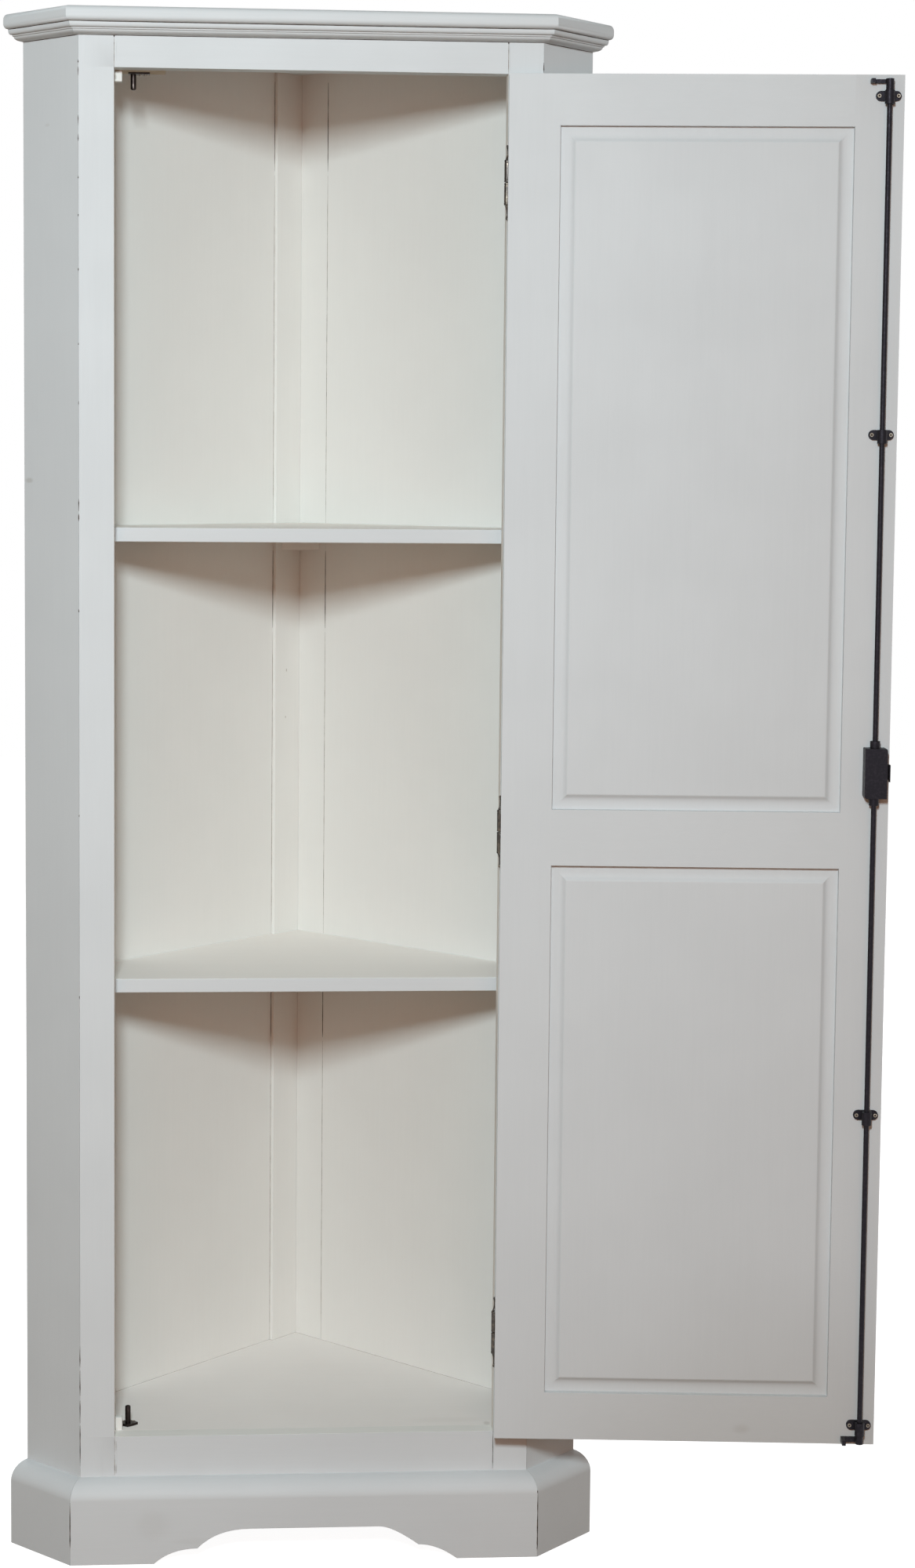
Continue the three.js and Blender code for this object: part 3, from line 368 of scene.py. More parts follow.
def paint(name, tone, along, roughness=0.66, turned=(), marks_and_shade=()):
    finish = Finish(name, Specular_IOR_Level=0.3)
    stretch = ALONG[along]
    drift = finish.noise(7, detail=3, rough=0.55).ramp(0.3, 0.72)
    fine = finish.noise(900, stretch, detail=2)
    broad = finish.noise(210, stretch, detail=2, shift=(3.1, 1.7, 0.4))
    speck = finish.noise(1500, detail=1)
    strokes = (fine * 0.6 + broad * 0.4).ramp(0.3, 0.7)
    colour = finish.mix(drift, tone, darker(tone, 0.975))
    for axis, low, high, other in turned:
        colour = finish.mix(finish.facing(axis).ramp(low, high), colour, other)
    colour = finish.mix(strokes * 0.05, colour, darker(tone, 0.75))
    # Each mark darkens the paint towards that colour; one of them is the door's painted shade.
    for centre, spread, share in marks_and_shade:
        colour = finish.mix(finish.spot(centre, spread) * share, colour, SOIL_AND_PAINTED_SHADE)
    height = fine * 0.4 + broad * 0.5 + speck * 0.1
    return finish.feed(
        Base_Color=colour,
        Roughness=roughness - 0.06 + drift * 0.06 + strokes * 0.08,
        Normal=finish.bump(height, 0.12 * MM, 0.7),
    )


outer_upright = paint("outer_paint_upright", OUTER, "z")
outer_level = paint("outer_paint_level", OUTER, "x")
inner_upright = paint("inner_paint_upright", INNER, "z", 0.7)
inner_level = paint("inner_paint_level", INNER, "x", 0.7)
# The shelf tops and the sides of the door opening take the paler cream, as painted light.
shelf_paint = paint("shelf_paint", INNER, "x", 0.7, [(2, 0.6, 0.9, PAINTED_LIGHT_CREAM), (1, -0.55, -0.85, OUTER)])
left_stile_paint = paint("left_stile_paint", OUTER, "z", 0.66, [(0, 0.6, 0.9, PAINTED_LIGHT_CREAM)])
right_stile_paint = paint("right_stile_paint", OUTER, "z", 0.66, [(0, -0.6, -0.9, PAINTED_LIGHT_CREAM)])
sill_paint = paint("sill_paint", OUTER, "x", 0.66, [(2, 0.6, 0.9, INNER)])
print("paints:", [m.name for m in bpy.data.materials if "paint" in m.name])

# %% [markdown]
# ## Marks in the paint
# Some pieces have marks of use: two small smudges on the left return, faint rubs on the plinth and
# on the foot of the door, a worn place where the floor board meets the right jamb, pin pricks in
# a corner strip, and paint knocked off the two door stops. Each such piece gets a paint of its
# own. A mark is given by its middle and its reach, in millimetres, and its strength. The lower
# part of the door, most of all towards the lock, is also painted a weak shade darker: a painted
# shade that stands in for the lamp's fall-off there, given like a mark. Dust would do that, and so
# would the lamp's fall-off: the photograph can't tell, so the shade is kept weak. The floor
# board's paler tone is painted light, fitted in the same way as that of the shelf tops.

# %% Marked paints
# The floor board's paler tone is painted light, fitted like the shelf tops; its marks are wear.
FLOOR_TONE_WITH_PAINTED_LIGHT = shade(0.83, 0.8, 0.763)
return_paint = paint("marked_return", OUTER, "z", marks_and_shade=[
    ((-342, -349, 1339), (9, 9, 4), 0.3), ((-318, -373, 1767), (5, 5, 2.5), 0.15)])
plinth_paint = paint("marked_plinth", OUTER, "x", marks_and_shade=[
    ((-189, -439, 50), (26, 20, 24), 0.07), ((64, -439, 37), (20, 20, 5), 0.09),
    ((-140, -439, 28), (30, 20, 6), 0.06)])
# A weak painted shade over the lower door, strongest towards the lock, for the lamp's fall-off there.
DOOR_FOOT_PAINTED_SHADE = ((600, -460, 100), (430, 160, 300), 0.2)
door_paint = paint("marked_door", OUTER, "z", marks_and_shade=[DOOR_FOOT_PAINTED_SHADE])
door_foot_paint = paint("marked_door_foot", OUTER, "x", marks_and_shade=[
    DOOR_FOOT_PAINTED_SHADE, ((540, -476, 172), (14, 20, 8), 0.16)])
floor_paint = paint("marked_floor", FLOOR_TONE_WITH_PAINTED_LIGHT, "x", 0.7, marks_and_shade=[
    ((232, -384, 153), (5, 9, 5), 0.3), ((180, -370, 153), (60, 12, 5), 0.06)])
strip_paint = paint("marked_strip", INNER, "z", 0.7, marks_and_shade=[
    ((-14, -26, 1082), (1.6, 1.6, 3), 0.6), ((-15, -27, 1018), (1.4, 1.4, 2), 0.6)])
stop_paint = paint("worn_stop", INNER, "x", 0.7, marks_and_shade=[
    ((-236, -389, 1831), (7, 9, 3.5), 0.7), ((-236, -391, 1824), (2, 8, 5), 0.5),
    ((-236, -392, 153), (3, 6, 6), 0.35)])
print("paints with marks:", [m.name for m in bpy.data.materials if m.name.startswith(("marked", "worn"))])

# %% [markdown]
# ## Bare wood and metal
# The block behind the top rail was never painted. The lock and its rods are blackened iron,
# rubbed a little lighter in patches. The hinges are bronze, brown with age, and the screws are
# steel with turned heads.

# %% Wood and metal finishes
def bare_wood():
    finish = Finish("bare_softwood", Specular_IOR_Level=0.3)
    rings = finish.noise(26, (1, 1, 0.05), detail=3)
    grain = finish.noise(480, (1, 1, 0.03), detail=3)
    tone = finish.mix(rings.ramp(0.35, 0.65), shade(0.66, 0.56, 0.43), shade(0.5, 0.39, 0.27))
    tone = finish.mix(grain * 0.35, tone, shade(0.36, 0.27, 0.18))
    return finish.feed(
        Base_Color=tone,
        Roughness=0.7 + grain * 0.15,
        Normal=finish.bump(grain, 0.15 * MM, 0.8),
    )


def worn_metal(name, dark, bright, roughness, metallic, scale, dents=0.08, lacquer=0.0):
    finish = Finish(name, Coat_Weight=lacquer, Coat_Roughness=0.3)
    blotch = finish.noise(scale, detail=4, rough=0.6)
    pits = finish.noise(scale * 9, detail=2)
    rubbed = (blotch * 0.7 + pits * 0.3).ramp(0.46, 0.68)
    return finish.feed(
        Base_Color=finish.mix(rubbed, dark, bright),
        Metallic=metallic + rubbed * 0.1,
        Roughness=roughness + pits * 0.22 - rubbed * 0.12,
        Normal=finish.bump(pits * 0.6 + blotch * 0.4, dents * MM, 0.6),
    )


softwood = bare_wood()
iron = worn_metal("blackened_iron", shade(0.01, 0.008, 0.011), shade(0.024, 0.02, 0.025), 0.38, 0.8, 340)
bronze = worn_metal(
    "aged_bronze", shade(0.035, 0.027, 0.022), shade(0.16, 0.125, 0.09), 0.24, 0.9, 160,
    dents=0.004, lacquer=0.5)
keep_iron = worn_metal("brown_iron", shade(0.025, 0.017, 0.015), shade(0.06, 0.047, 0.042), 0.26, 0.85, 120)
steel = worn_metal("screw_steel", shade(0.24, 0.2, 0.16), shade(0.56, 0.5, 0.42), 0.26, 0.9, 260)

# %% [markdown]
# ## Boards
# A solid from the drawing has sharp edges. On the real boards every free edge is a little round,
# and only edges that are shut in a joint stayed sharp. So each board is copied, its free edges are
# found by looking for a neighbour close by, and those edges alone are rounded. The copy stands in
# for the board, in the same place.

# %% Finding free edges
NEIGHBOUR = 0.9 * MM
EDGE_ANGLE = math.radians(50)
SMOOTH_ANGLE = math.radians(33)


def welded(node):
    mesh = bmesh.new()
    mesh.from_mesh(frame["nodes"][node].data)
    bmesh.ops.remove_doubles(mesh, verts=mesh.verts, dist=0.01 * MM)
    bmesh.ops.dissolve_limit(mesh, angle_limit=math.radians(0.6), verts=mesh.verts, edges=mesh.edges)
    return mesh


def cut_across(mesh, heights):
    """Adds a ring of edges round an upright board at each height."""
    for height in heights:
        everything = mesh.verts[:] + mesh.edges[:] + mesh.faces[:]
        bmesh.ops.bisect_plane(mesh, geom=everything, plane_co=(0, 0, height), plane_no=(0, 0, 1))


surfaces = {}
for node_name in frame["nodes"]:
    node_mesh = welded(node_name)
    surfaces[node_name] = (BVHTree.FromBMesh(node_mesh), *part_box(node_name))
    node_mesh.free()


def shut_in(point, node):
    for other, (tree, low, high) in surfaces.items():
        inside = all(low[a] - NEIGHBOUR < point[a] < high[a] + NEIGHBOUR for a in range(3))
        if other != node and inside and tree.find_nearest(point, NEIGHBOUR)[0] is not None:
            return True
    return False


def free_edges(mesh, node):
    found = []
    for edge in mesh.edges:
        if not edge.is_manifold or edge.calc_face_angle(0) < EDGE_ANGLE or not edge.is_convex:
            continue
        ends = [vertex.co for vertex in edge.verts]
        open_points = [not shut_in(ends[0].lerp(ends[1], share), node) for share in (0.2, 0.5, 0.8)]
        if sum(open_points) >= 2:
            found.append(edge)
    return found


print("surfaces that can shut an edge in:", len(surfaces))


# %% [markdown]
# A finished piece is shaded smooth over its rounds and keeps its other edges crisp. The weighted
# normals let the big flat faces win over the small rounded ones, so a board looks flat up to its
# edge. Every piece then rides on the body that carries it.

# %% Finishing a piece
def finished(name, mesh, body, material, replaced=(), smooth=SMOOTH_ANGLE):
    for face in mesh.faces:
        face.smooth = True
    for edge in mesh.edges:
        edge.smooth = not edge.is_manifold or edge.calc_face_angle(0) < smooth
    data = bpy.data.meshes.new(name)
    mesh.to_mesh(data)
    mesh.free()
    data.materials.append(material)
    piece = bpy.data.objects.new(name, data)
    bpy.context.scene.collection.objects.link(piece)
    normals = piece.modifiers.new("flat_faces_win", "WEIGHTED_NORMAL")
    normals.keep_sharp = True
    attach(piece, body)
    if replaced:
        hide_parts(*replaced)
    return piece


print("a piece is smooth over edges below", round(math.degrees(SMOOTH_ANGLE)), "degrees")


# %% [markdown]
# A stile meets several rails along one long edge, and is free only between them. It is cut across
# at each rail first, so that the free stretches are edges of their own.

# %% Dressing a board
def ease(mesh, node, radius, steps):
    """Rounds the free edges of a board by a radius in millimetres."""
    edges = free_edges(mesh, node)
    if edges and radius:
        bmesh.ops.bevel(
            mesh, geom=edges, offset=radius * MM, offset_type="OFFSET", segments=steps,
            profile=0.5, affect="EDGES", clamp_overlap=True,
        )


def dressed(node, body, material, radius, steps=3, beside=()):
    mesh = welded(node)
    cut_across(mesh, [corner.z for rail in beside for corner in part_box(rail)])
    ease(mesh, node, radius, steps)
    return finished("dressed_" + node, mesh, body, material, [node])


shelf_mesh = welded("upper_shelf")
shelf_edges = free_edges(shelf_mesh, "upper_shelf")
print("free edges of the upper shelf:", len(shelf_edges), "of", len(shelf_mesh.edges))
shelf_mesh.free()

# %% [markdown]
# ## Carcase
# Stiles, rails and returns were planed square and then painted many times, so their edges are
# round by a little less than a millimetre. The shelf edges were eased more. The cap and the
# plinth have their big rounds in the solids already, and only need smooth shading there.

# %% Carcase boards
CARCASE = [
    ("left_front_stile", left_stile_paint, 0.7), ("right_front_stile", right_stile_paint, 0.7),
    ("face_top_rail", outer_level, 0.7), ("face_bottom_rail", sill_paint, 0.45),
    ("left_side_board", return_paint, 0.7), ("right_side_board", outer_upright, 0.7),
    ("cornice_cap", outer_level, 0), ("cornice_moulding_front", outer_level, 0.2),
    ("cornice_moulding_left", outer_level, 0.2), ("cornice_moulding_right", outer_level, 0.2),
    ("plinth_front", plinth_paint, 0.6), ("plinth_left", outer_level, 0.6),
    ("plinth_right", outer_level, 0.6), ("top_door_stop", stop_paint, 0.9),
    ("bottom_door_stop", stop_paint, 1.3),
]
INSIDE = [
    ("left_back_board", inner_upright, 0.5), ("right_back_board", inner_upright, 0.5),
    ("left_corner_strip", strip_paint, 0.7), ("right_corner_strip", inner_upright, 0.7),
    ("floor_board", floor_paint, 0.5), ("lower_shelf", shelf_paint, 1.1), ("upper_shelf", shelf_paint, 1.1),
    ("lower_shelf_cleat", inner_level, 0.9), ("upper_shelf_cleat", inner_level, 0.9),
]
FACE_RAILS = ("face_top_rail", "face_bottom_rail")

for board, material, radius in CARCASE:
    dressed(board, "carcase", material, radius, beside=FACE_RAILS if "stile" in board else ())
for board, material, radius in INSIDE:
    dressed(board, "carcase", material, radius)
dressed("top_keep_block", "carcase", softwood, 0.6)
print("boards of the carcase:", len(CARCASE) + len(INSIDE) + 1)

# %% [markdown]
# ## Door
# The door stands open, so everything on it is placed in the door's own measure: x along the door
# from the hinge pin, y from its outer face to its inner face, z up, in millimetres. One matrix
# turns these places to where the door stands now.

# %% The door's own measure
HINGE_X, HINGE_Y, OPEN_ANGLE = 236.05, -416.159, 174.65
FRAME_PLACE = Matrix.Translation((HINGE_X * MM, HINGE_Y * MM, 0))
DOOR_PLACE = FRAME_PLACE @ Matrix.Rotation(math.radians(OPEN_ANGLE), 4, "Z")
DOOR_OUTER, DOOR_INNER = 4.5, 26.5
MIDDLE = (DOOR_OUTER + DOOR_INNER) / 2
OPENING_NEAR, OPENING_FAR, LOCK_EDGE = -62.75, -413.35, -471.35


def on_door(x, y, z):
    return DOOR_PLACE @ Vector((x * MM, y * MM, z * MM))


print("the lock edge of the door is at", [round(v, 3) for v in on_door(LOCK_EDGE, MIDDLE, 900)])

# %% [markdown]
# The joints between the rails and the stiles are closed by paint, and nothing shows of them. The
# solids have a hair's gap there, so each rail is drawn out to touch the stiles. The edges round
# the two openings are crisp, because the paint broke at the joint when the panels moved.

# %% Door frame
RAIL_GAP, RAIL_DRAWN, NEAR_ENOUGH = 0.3, 0.32, 0.1


def closed_up(node, material, radius):
    mesh = welded(node)
    back = DOOR_PLACE.inverted()
    for vertex in mesh.verts:
        x = (back @ vertex.co).x / MM
        for end, away in ((OPENING_NEAR, 1), (OPENING_FAR, -1)):
            if abs(x - (end - away * RAIL_GAP)) < NEAR_ENOUGH:
                vertex.co += DOOR_PLACE.to_3x3() @ Vector((away * RAIL_DRAWN * MM, 0, 0))
    ease(mesh, node, radius, 2)
    return finished("dressed_" + node, mesh, "door", material, [node])


DOOR_RAILS = ("door_top_rail", "door_lock_rail", "door_bottom_rail")
for stile in ("door_hinge_stile", "door_lock_stile"):
    dressed(stile, "door", door_paint, 0.35, 2, DOOR_RAILS)
for rail in DOOR_RAILS:
    closed_up(rail, door_foot_paint if "bottom" in rail else outer_level, 0.35)
print("the frame of the door has 2 stiles and", len(DOOR_RAILS), "rails")

# %% [markdown]
# A fielded panel has a flat field, a small shoulder round it, and a hollow that runs out flat to
# the edge. A plain bevel looks wrong next to the photograph: there the shade is darkest three
# millimetres outside the field and fades slowly. The hollow is drawn as a list of insets and
# heights, and rings of that list make both faces. The mitres stay crisp.

# %% Panels
HOLLOW = [
    (0, 3.0), (7.5, 3.01), (10.0, 3.19), (11.6, 3.44), (13.1, 3.87), (14.1, 4.31), (15.1, 4.89),
    (16.1, 5.62), (17.1, 6.46), (17.8, 6.95), (18.4, 7.26), (18.95, 7.43), (19.5, 7.5),
]
TONGUE = 8.4
LEAST_SLANT = 0.1 * MM


def panel_ring(mesh, inset, height, low, high):
    near, far = OPENING_NEAR - inset, OPENING_FAR + inset
    corners = ((far, low + inset), (near, low + inset), (near, high - inset), (far, high - inset))
    return [mesh.verts.new(on_door(x, MIDDLE + height, z)) for x, z in corners]


def panel(node, low, high):
    mesh = bmesh.new()
    inner = [(-TONGUE, HOLLOW[0][1])] + HOLLOW
    outer = [(inset, -height) for inset, height in inner]
    rings = [panel_ring(mesh, inset, height, low, high) for inset, height in reversed(inner)]
    rings += [panel_ring(mesh, inset, height, low, high) for inset, height in outer]
    for ring, following in zip(rings, rings[1:]):
        for a in range(4):
            b = (a + 1) % 4
            mesh.faces.new((ring[a], ring[b], following[b], following[a]))
    mesh.faces.new(reversed(rings[0]))
    mesh.faces.new(rings[-1])
    bmesh.ops.recalc_face_normals(mesh, faces=mesh.faces)
    piece = finished("dressed_" + node, mesh, "door", door_paint, [node], math.radians(50))
    for edge in piece.data.edges:
        first, second = (DOOR_PLACE.inverted() @ piece.data.vertices[v].co for v in edge.vertices)
        if abs(first.x - second.x) > LEAST_SLANT and abs(first.z - second.z) > LEAST_SLANT:
            edge.use_edge_sharp = True
    return piece


panel("door_upper_panel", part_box("door_lock_rail")[1].z / MM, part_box("door_top_rail")[0].z / MM)
panel("door_lower_panel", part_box("door_bottom_rail")[1].z / MM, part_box("door_lock_rail")[0].z / MM)
print("each panel has", 2 * len(HOLLOW) + 2, "rings")

# %% [markdown]
# ## Joints and paint beads
# Old joints open a little, and the paint cracks along them: dark broken lines at the corners of
# the case, under the cap and beside the corner strips, where the dark stretch under each shelf is
# painted shadow. Where boards meet at an inner corner, the paint has run into a small pale bead
# instead. Both are thin rods laid on the joint, most of them sunk in the wood. A rod swells and
# shrinks along its way, so that the line looks broken by hand and not ruled. The numbers come from
# a sine, so each run gives the same line.

# %% Rods along a joint
def crack_finish(name, deep, dusty):
    finish = Finish(name, Roughness=0.9, Specular_IOR_Level=0.1)
    dust = finish.noise(420, detail=3)
    return finish.feed(Base_Color=finish.mix(dust.ramp(0.35, 0.7), deep, dusty))


def bead_finish(name, tone):
    finish = Finish(name, Roughness=0.6, Specular_IOR_Level=0.3)
    lumps = finish.noise(300, detail=2)
    return finish.feed(
        Base_Color=finish.mix(lumps, tone, darker(tone, 0.93)),
        Normal=finish.bump(lumps, 0.2 * MM, 0.6),
    )


# The open joints' dark finish also serves as painted shade under the shelves and in screw recesses.
crack_and_painted_shade = crack_finish("open_joint", shade(0.045, 0.034, 0.028), shade(0.12, 0.095, 0.078))
filled = crack_finish("filled_joint", shade(0.2, 0.165, 0.14), shade(0.36, 0.31, 0.27))
bead, dull_bead = bead_finish("paint_bead", INNER), bead_finish("dull_bead", darker(OUTER, 0.92))
print("finishes for the joints:", crack_and_painted_shade.name, filled.name, bead.name, dull_bead.name)


# %% [markdown]
# A seam is drawn along straight ways, each from one point to another. A chain of points gives one
# way after the other. Upright dashes share one place and differ in where they begin and end.

# %% Seams
ROD_SIDES = 6
RING_EVERY = 9 * MM


def rod_along(mesh, first, last, radius, uneven, seed):
    way = last - first
    length = way.length
    turn = way.to_track_quat("Z", "Y").to_matrix()
    count = max(3, int(length / RING_EVERY))
    rings = []
    for step in range(count + 1):
        share = step / count
        swell = 1 + uneven * (math.sin(step * 2.3 + seed) * 0.6 + math.sin(step * 0.71 + seed * 3) * 0.4)
        thick = radius * MM * swell * min(1.0, 0.35 + 6 * min(share, 1 - share))
        middle = first + way * share
        angles = (side * 2 * math.pi / ROD_SIDES for side in range(ROD_SIDES))
        ring = [middle + turn @ Vector((math.cos(a), math.sin(a), 0)) * thick for a in angles]
        rings.append([mesh.verts.new(point) for point in ring])
    for ring, following in zip(rings, rings[1:]):
        for a in range(ROD_SIDES):
            b = (a + 1) % ROD_SIDES
            mesh.faces.new((ring[a], ring[b], following[b], following[a]))
    mesh.faces.new(reversed(rings[0]))
    mesh.faces.new(rings[-1])


def seam(name, body, material, ways, radius, uneven=0.35):
    mesh = bmesh.new()
    for seed, (first, last) in enumerate(ways):
        rod_along(mesh, Vector(first) * MM, Vector(last) * MM, radius, uneven, seed * 1.7)
    return finished(name, mesh, body, material)


def chain(*points):
    return list(zip(points, points[1:]))


def upright_dashes(x, y, spans):
    """Upright stretches at one place, from a list of (low, high)."""
    return [((x, y, low), (x, y, high)) for low, high in spans]


# %% [markdown]
# The face of the case: the two front corners, the four places where a rail meets a stile, and the
# mitres of the plinth.

# %% Seams on the face
FACE, JAMB = -411.66, 236.65
LEFT_DASHES = [
    (1836.4, 1840), (1821.6, 1831.7), (1762.6, 1775.5), (1744, 1753), (1700, 1703), (1655, 1658),
    (1590, 1594), (1502, 1505), (1431, 1435), (1302.7, 1317.8), (1290.4, 1299.8), (1180, 1184),
    (930, 933), (705, 709), (242, 269), (206, 238), (171, 200), (116, 168),
]


def on_face(name, material, x, spans, radius, uneven=0.35, proud=0.16):
    ways = upright_dashes(x, FACE + proud, spans)
    seam(name, "carcase", material, ways, radius, uneven)


on_face("left_corner_crack", crack_and_painted_shade, -279.42, LEFT_DASHES, 0.5, 0.5, 0.2)
on_face("right_corner_crack", crack_and_painted_shade, 279.42, [(1834, 1846)], 0.55, 0.4, 0.2)
on_face("left_rail_joint", filled, -JAMB, [(1832, 1869)], 0.34)
on_face("right_rail_joint", filled, JAMB, [(1832, 1869)], 0.42)
on_face("left_sill_joint", filled, -JAMB, [(104, 130), (134, 152.5)], 0.42)
on_face("right_sill_joint", crack_and_painted_shade, JAMB, [(104, 152.5)], 0.42)
rail_beads = upright_dashes(238.0, FACE + 0.1, [(1832, 1869), (104, 152)])
rail_beads += upright_dashes(-234.0, FACE + 0.2, [(1834, 1866), (104, 150)])
seam("rail_joint_beads", "carcase", dull_bead, rail_beads, 0.42, 0.3)
on_face("left_sill_chips", filled, -234.9, [(104, 121), (126, 151)], 0.32, 0.5, 0.2)
left_mitre = upright_dashes(-290.85, -439.1, [(22, 80)])
right_mitre = upright_dashes(290.85, -439.1, [(8, 85)])
right_mitre += upright_dashes(290.6, -438.9, [(8, 13), (80, 85.5), (46, 49)])
seam("left_plinth_crack", "carcase", crack_and_painted_shade, left_mitre, 0.6, 0.4)
seam("right_plinth_crack", "carcase", crack_and_painted_shade, right_mitre, 0.62, 0.5)
print("seams on the face of the case")

# %% [markdown]
# Under the cap and under the moulding the paint never closed the joint. On top of the plinth it
# did, and left a bead.

# %% Seams round the case
def round_the_front(far, near, z):
    """Ways along the left return, the face and the right return, all at one height."""
    (far_x, far_y), (near_x, near_y) = far, near
    return chain((-far_x, far_y, z), (-near_x, near_y, z), (near_x, near_y, z), (far_x, far_y, z))


cap_ways = round_the_front((365.2, -359.6), (289.3, -435.5), 1881.9)
moulding_ways = round_the_front((348.4, -342.8), (279.6, -411.8), 1869.6)
plinth_ways = round_the_front((348.8, -342.3), (279.6, -411.8), 101.9)
seam("cap_shadow_gap", "carcase", crack_and_painted_shade, cap_ways, 0.5, 0.2)
seam("moulding_foot_gap", "carcase", crack_and_painted_shade, moulding_ways, 0.5, 0.2)
seam("moulding_foot_dots", "carcase", crack_and_painted_shade, [
    ((-JAMB, FACE, 1867.5), (-JAMB, FACE, 1869.8)), ((JAMB, FACE, 1867), (JAMB, FACE, 1869.8))], 0.8, 0.2)
seam("plinth_bead", "carcase", dull_bead, plinth_ways, 0.5, 0.2)
print("seams round the case")

# %% [markdown]
# Inside, the corner strips were nailed on after the boards were painted. The joint beside them is
# a fine filled line. In the top fifth of each stage it is drawn as a dark open line instead: a
# painted shadow, where the shadow of the shelf or the top above falls on the joint. Each shelf
# was painted in with a brush that left a bead at the back. Behind the floor board the joint is a
# fine line.

# %% Seams inside
LEFT_FAR, LEFT_STRIP, LEFT_ARRIS = (-326.0, -330.3), (-33.8, -38.1), (-30.1, -41.6)
CORNER = (3.55, -7.9)
RIGHT_FAR, RIGHT_STRIP = (326.0, -330.3), (37.3, -41.6)
STAGES = [(153.4, 684.0), (721.8, 1245.0), (1282.7, 1869.0)]


def along_back(z):
    return [(x, y, z) for x, y in (LEFT_FAR, LEFT_STRIP, LEFT_ARRIS, CORNER, RIGHT_STRIP, RIGHT_FAR)]


# In the top fifth of each stage the strip joint is drawn dark: a painted shadow of what is above.
SHELF_SHADOW_FROM, CLOSED_TO = 0.8, 0.79
SHELF_SHADOW_SPANS = [(low + (high - low) * SHELF_SHADOW_FROM, high) for low, high in STAGES]
CLOSED = [(low, low + (high - low) * CLOSED_TO) for low, high in STAGES]
strip_joints = upright_dashes(*LEFT_STRIP, CLOSED) + upright_dashes(*RIGHT_STRIP, CLOSED)
shelf_backs = chain(*along_back(721.5)) + chain(*along_back(1282.4))
seam("left_strip_gap", "carcase", crack_and_painted_shade, upright_dashes(*LEFT_STRIP, SHELF_SHADOW_SPANS), 0.42, 0.45)
seam("right_strip_gap", "carcase", crack_and_painted_shade, upright_dashes(*RIGHT_STRIP, SHELF_SHADOW_SPANS), 0.5, 0.3)
seam("strip_joints", "carcase", filled, strip_joints, 0.3, 0.4)
seam("floor_back_gap", "carcase", filled, chain(*along_back(153.0)), 0.17, 0.6)
seam("shelf_back_beads", "carcase", bead, shelf_backs, 0.9, 0.3)
print("seams inside the case")

# %% [markdown]
# ## Hinges
# Each hinge has two knuckles on one pin. A knuckle was turned: a straight barrel with a groove
# near each end, a short cone, a thin stem, and a ball. A profile of radii and heights is spun
# round the pin to make it. The leaf is a flat plate, let into the wood.

# %% Turned and flat metal
def spun(mesh, profile, middle, steps=24):
    """Turns a list of (radius, height) round an upright axis. The first and last radius are 0."""
    rings = []
    for radius, height in profile:
        if radius < 0.01:
            rings.append([mesh.verts.new(middle + Vector((0, 0, height * MM)))])
            continue
        angles = (k * 2 * math.pi / steps for k in range(steps))
        around = [Vector((math.cos(a) * radius, math.sin(a) * radius, height)) for a in angles]
        rings.append([mesh.verts.new(middle + offset * MM) for offset in around])
    for ring, following in zip(rings, rings[1:]):
        for a in range(steps):
            b = (a + 1) % steps
            places = ((ring, a), (ring, b), (following, b), (following, a))
            corners = [circle[index % len(circle)] for circle, index in places]
            unlike = [v for i, v in enumerate(corners) if v not in corners[:i]]
            mesh.faces.new(unlike)


def plate(mesh, low, high, place, rounding):
    """A flat plate between two corners in millimetres, with its edges eased."""
    made = bmesh.ops.create_cube(mesh, size=1)["verts"]
    for vertex in made:
        vertex.co = place @ Vector([(low[a] if vertex.co[a] < 0 else high[a]) * MM for a in range(3)])
    edges = {edge for vertex in made for edge in vertex.link_edges}
    bmesh.ops.bevel(mesh, geom=list(edges), offset=rounding * MM, segments=2, profile=0.5, affect="EDGES")


BARREL = [
    (0, 0.4), (2.9, 0.4), (3.5, 0.75), (3.6, 1.2), (3.6, 2.6), (3.25, 2.95), (3.25, 3.25), (3.5, 3.6),
    (3.55, 23.2), (3.25, 23.6), (3.25, 23.9), (3.6, 24.3), (3.6, 26.4), (3.2, 27.1), (1.95, 27.5),
    (2.25, 28.0), (2.2, 28.6), (1.7, 29.4), (1.25, 30.8), (0.8, 33.0), (0.68, 37.5), (0.7, 39.9),
    (1.05, 40.5), (0.8, 41.0), (1.05, 41.6), (1.35, 42.4), (1.4, 43.1), (1.3, 43.9), (0.95, 44.5),
    (0.5, 44.75), (0, 44.8),
]
print("a knuckle's profile has", len(BARREL), "points")

# %% Hinges
KNUCKLE_GAP, LEAF_HEIGHT, LEAF_REACH = 0.4, 24, 22.5


def knuckle(name, node, body, upward, place, leaf_low, leaf_high, split):
    mesh = bmesh.new()
    sign = 1 if upward else -1
    profile = [(radius, sign * height) for radius, height in BARREL]
    spun(mesh, profile, Vector((HINGE_X, HINGE_Y, split)) * MM)
    plate(mesh, leaf_low, leaf_high, place, 0.25)
    bmesh.ops.recalc_face_normals(mesh, faces=mesh.faces)
    return finished(name, mesh, body, bronze, [node], math.radians(40))


for label in ("lower", "middle", "upper"):
    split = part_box(label + "_hinge_door_leaf")[0].z / MM - KNUCKLE_GAP
    knuckle(label + "_hinge_on_door", label + "_hinge_door_leaf", "door", True, DOOR_PLACE,
            (-1.95, 2.3, split + KNUCKLE_GAP), (-0.75, LEAF_REACH, split + LEAF_HEIGHT), split)
    knuckle(label + "_hinge_on_case", label + "_hinge_frame_leaf", "carcase", False, FRAME_PLACE,
            (0.75, 2.2, split - LEAF_HEIGHT), (1.95, LEAF_REACH, split), split)
print("three hinges, six knuckles")

# %% [markdown]
# ## Nails at the back
# The two wall boards are nailed to the shelves and the floor board from behind. The heads were
# punched flush and painted over, so only a low round shows of each.

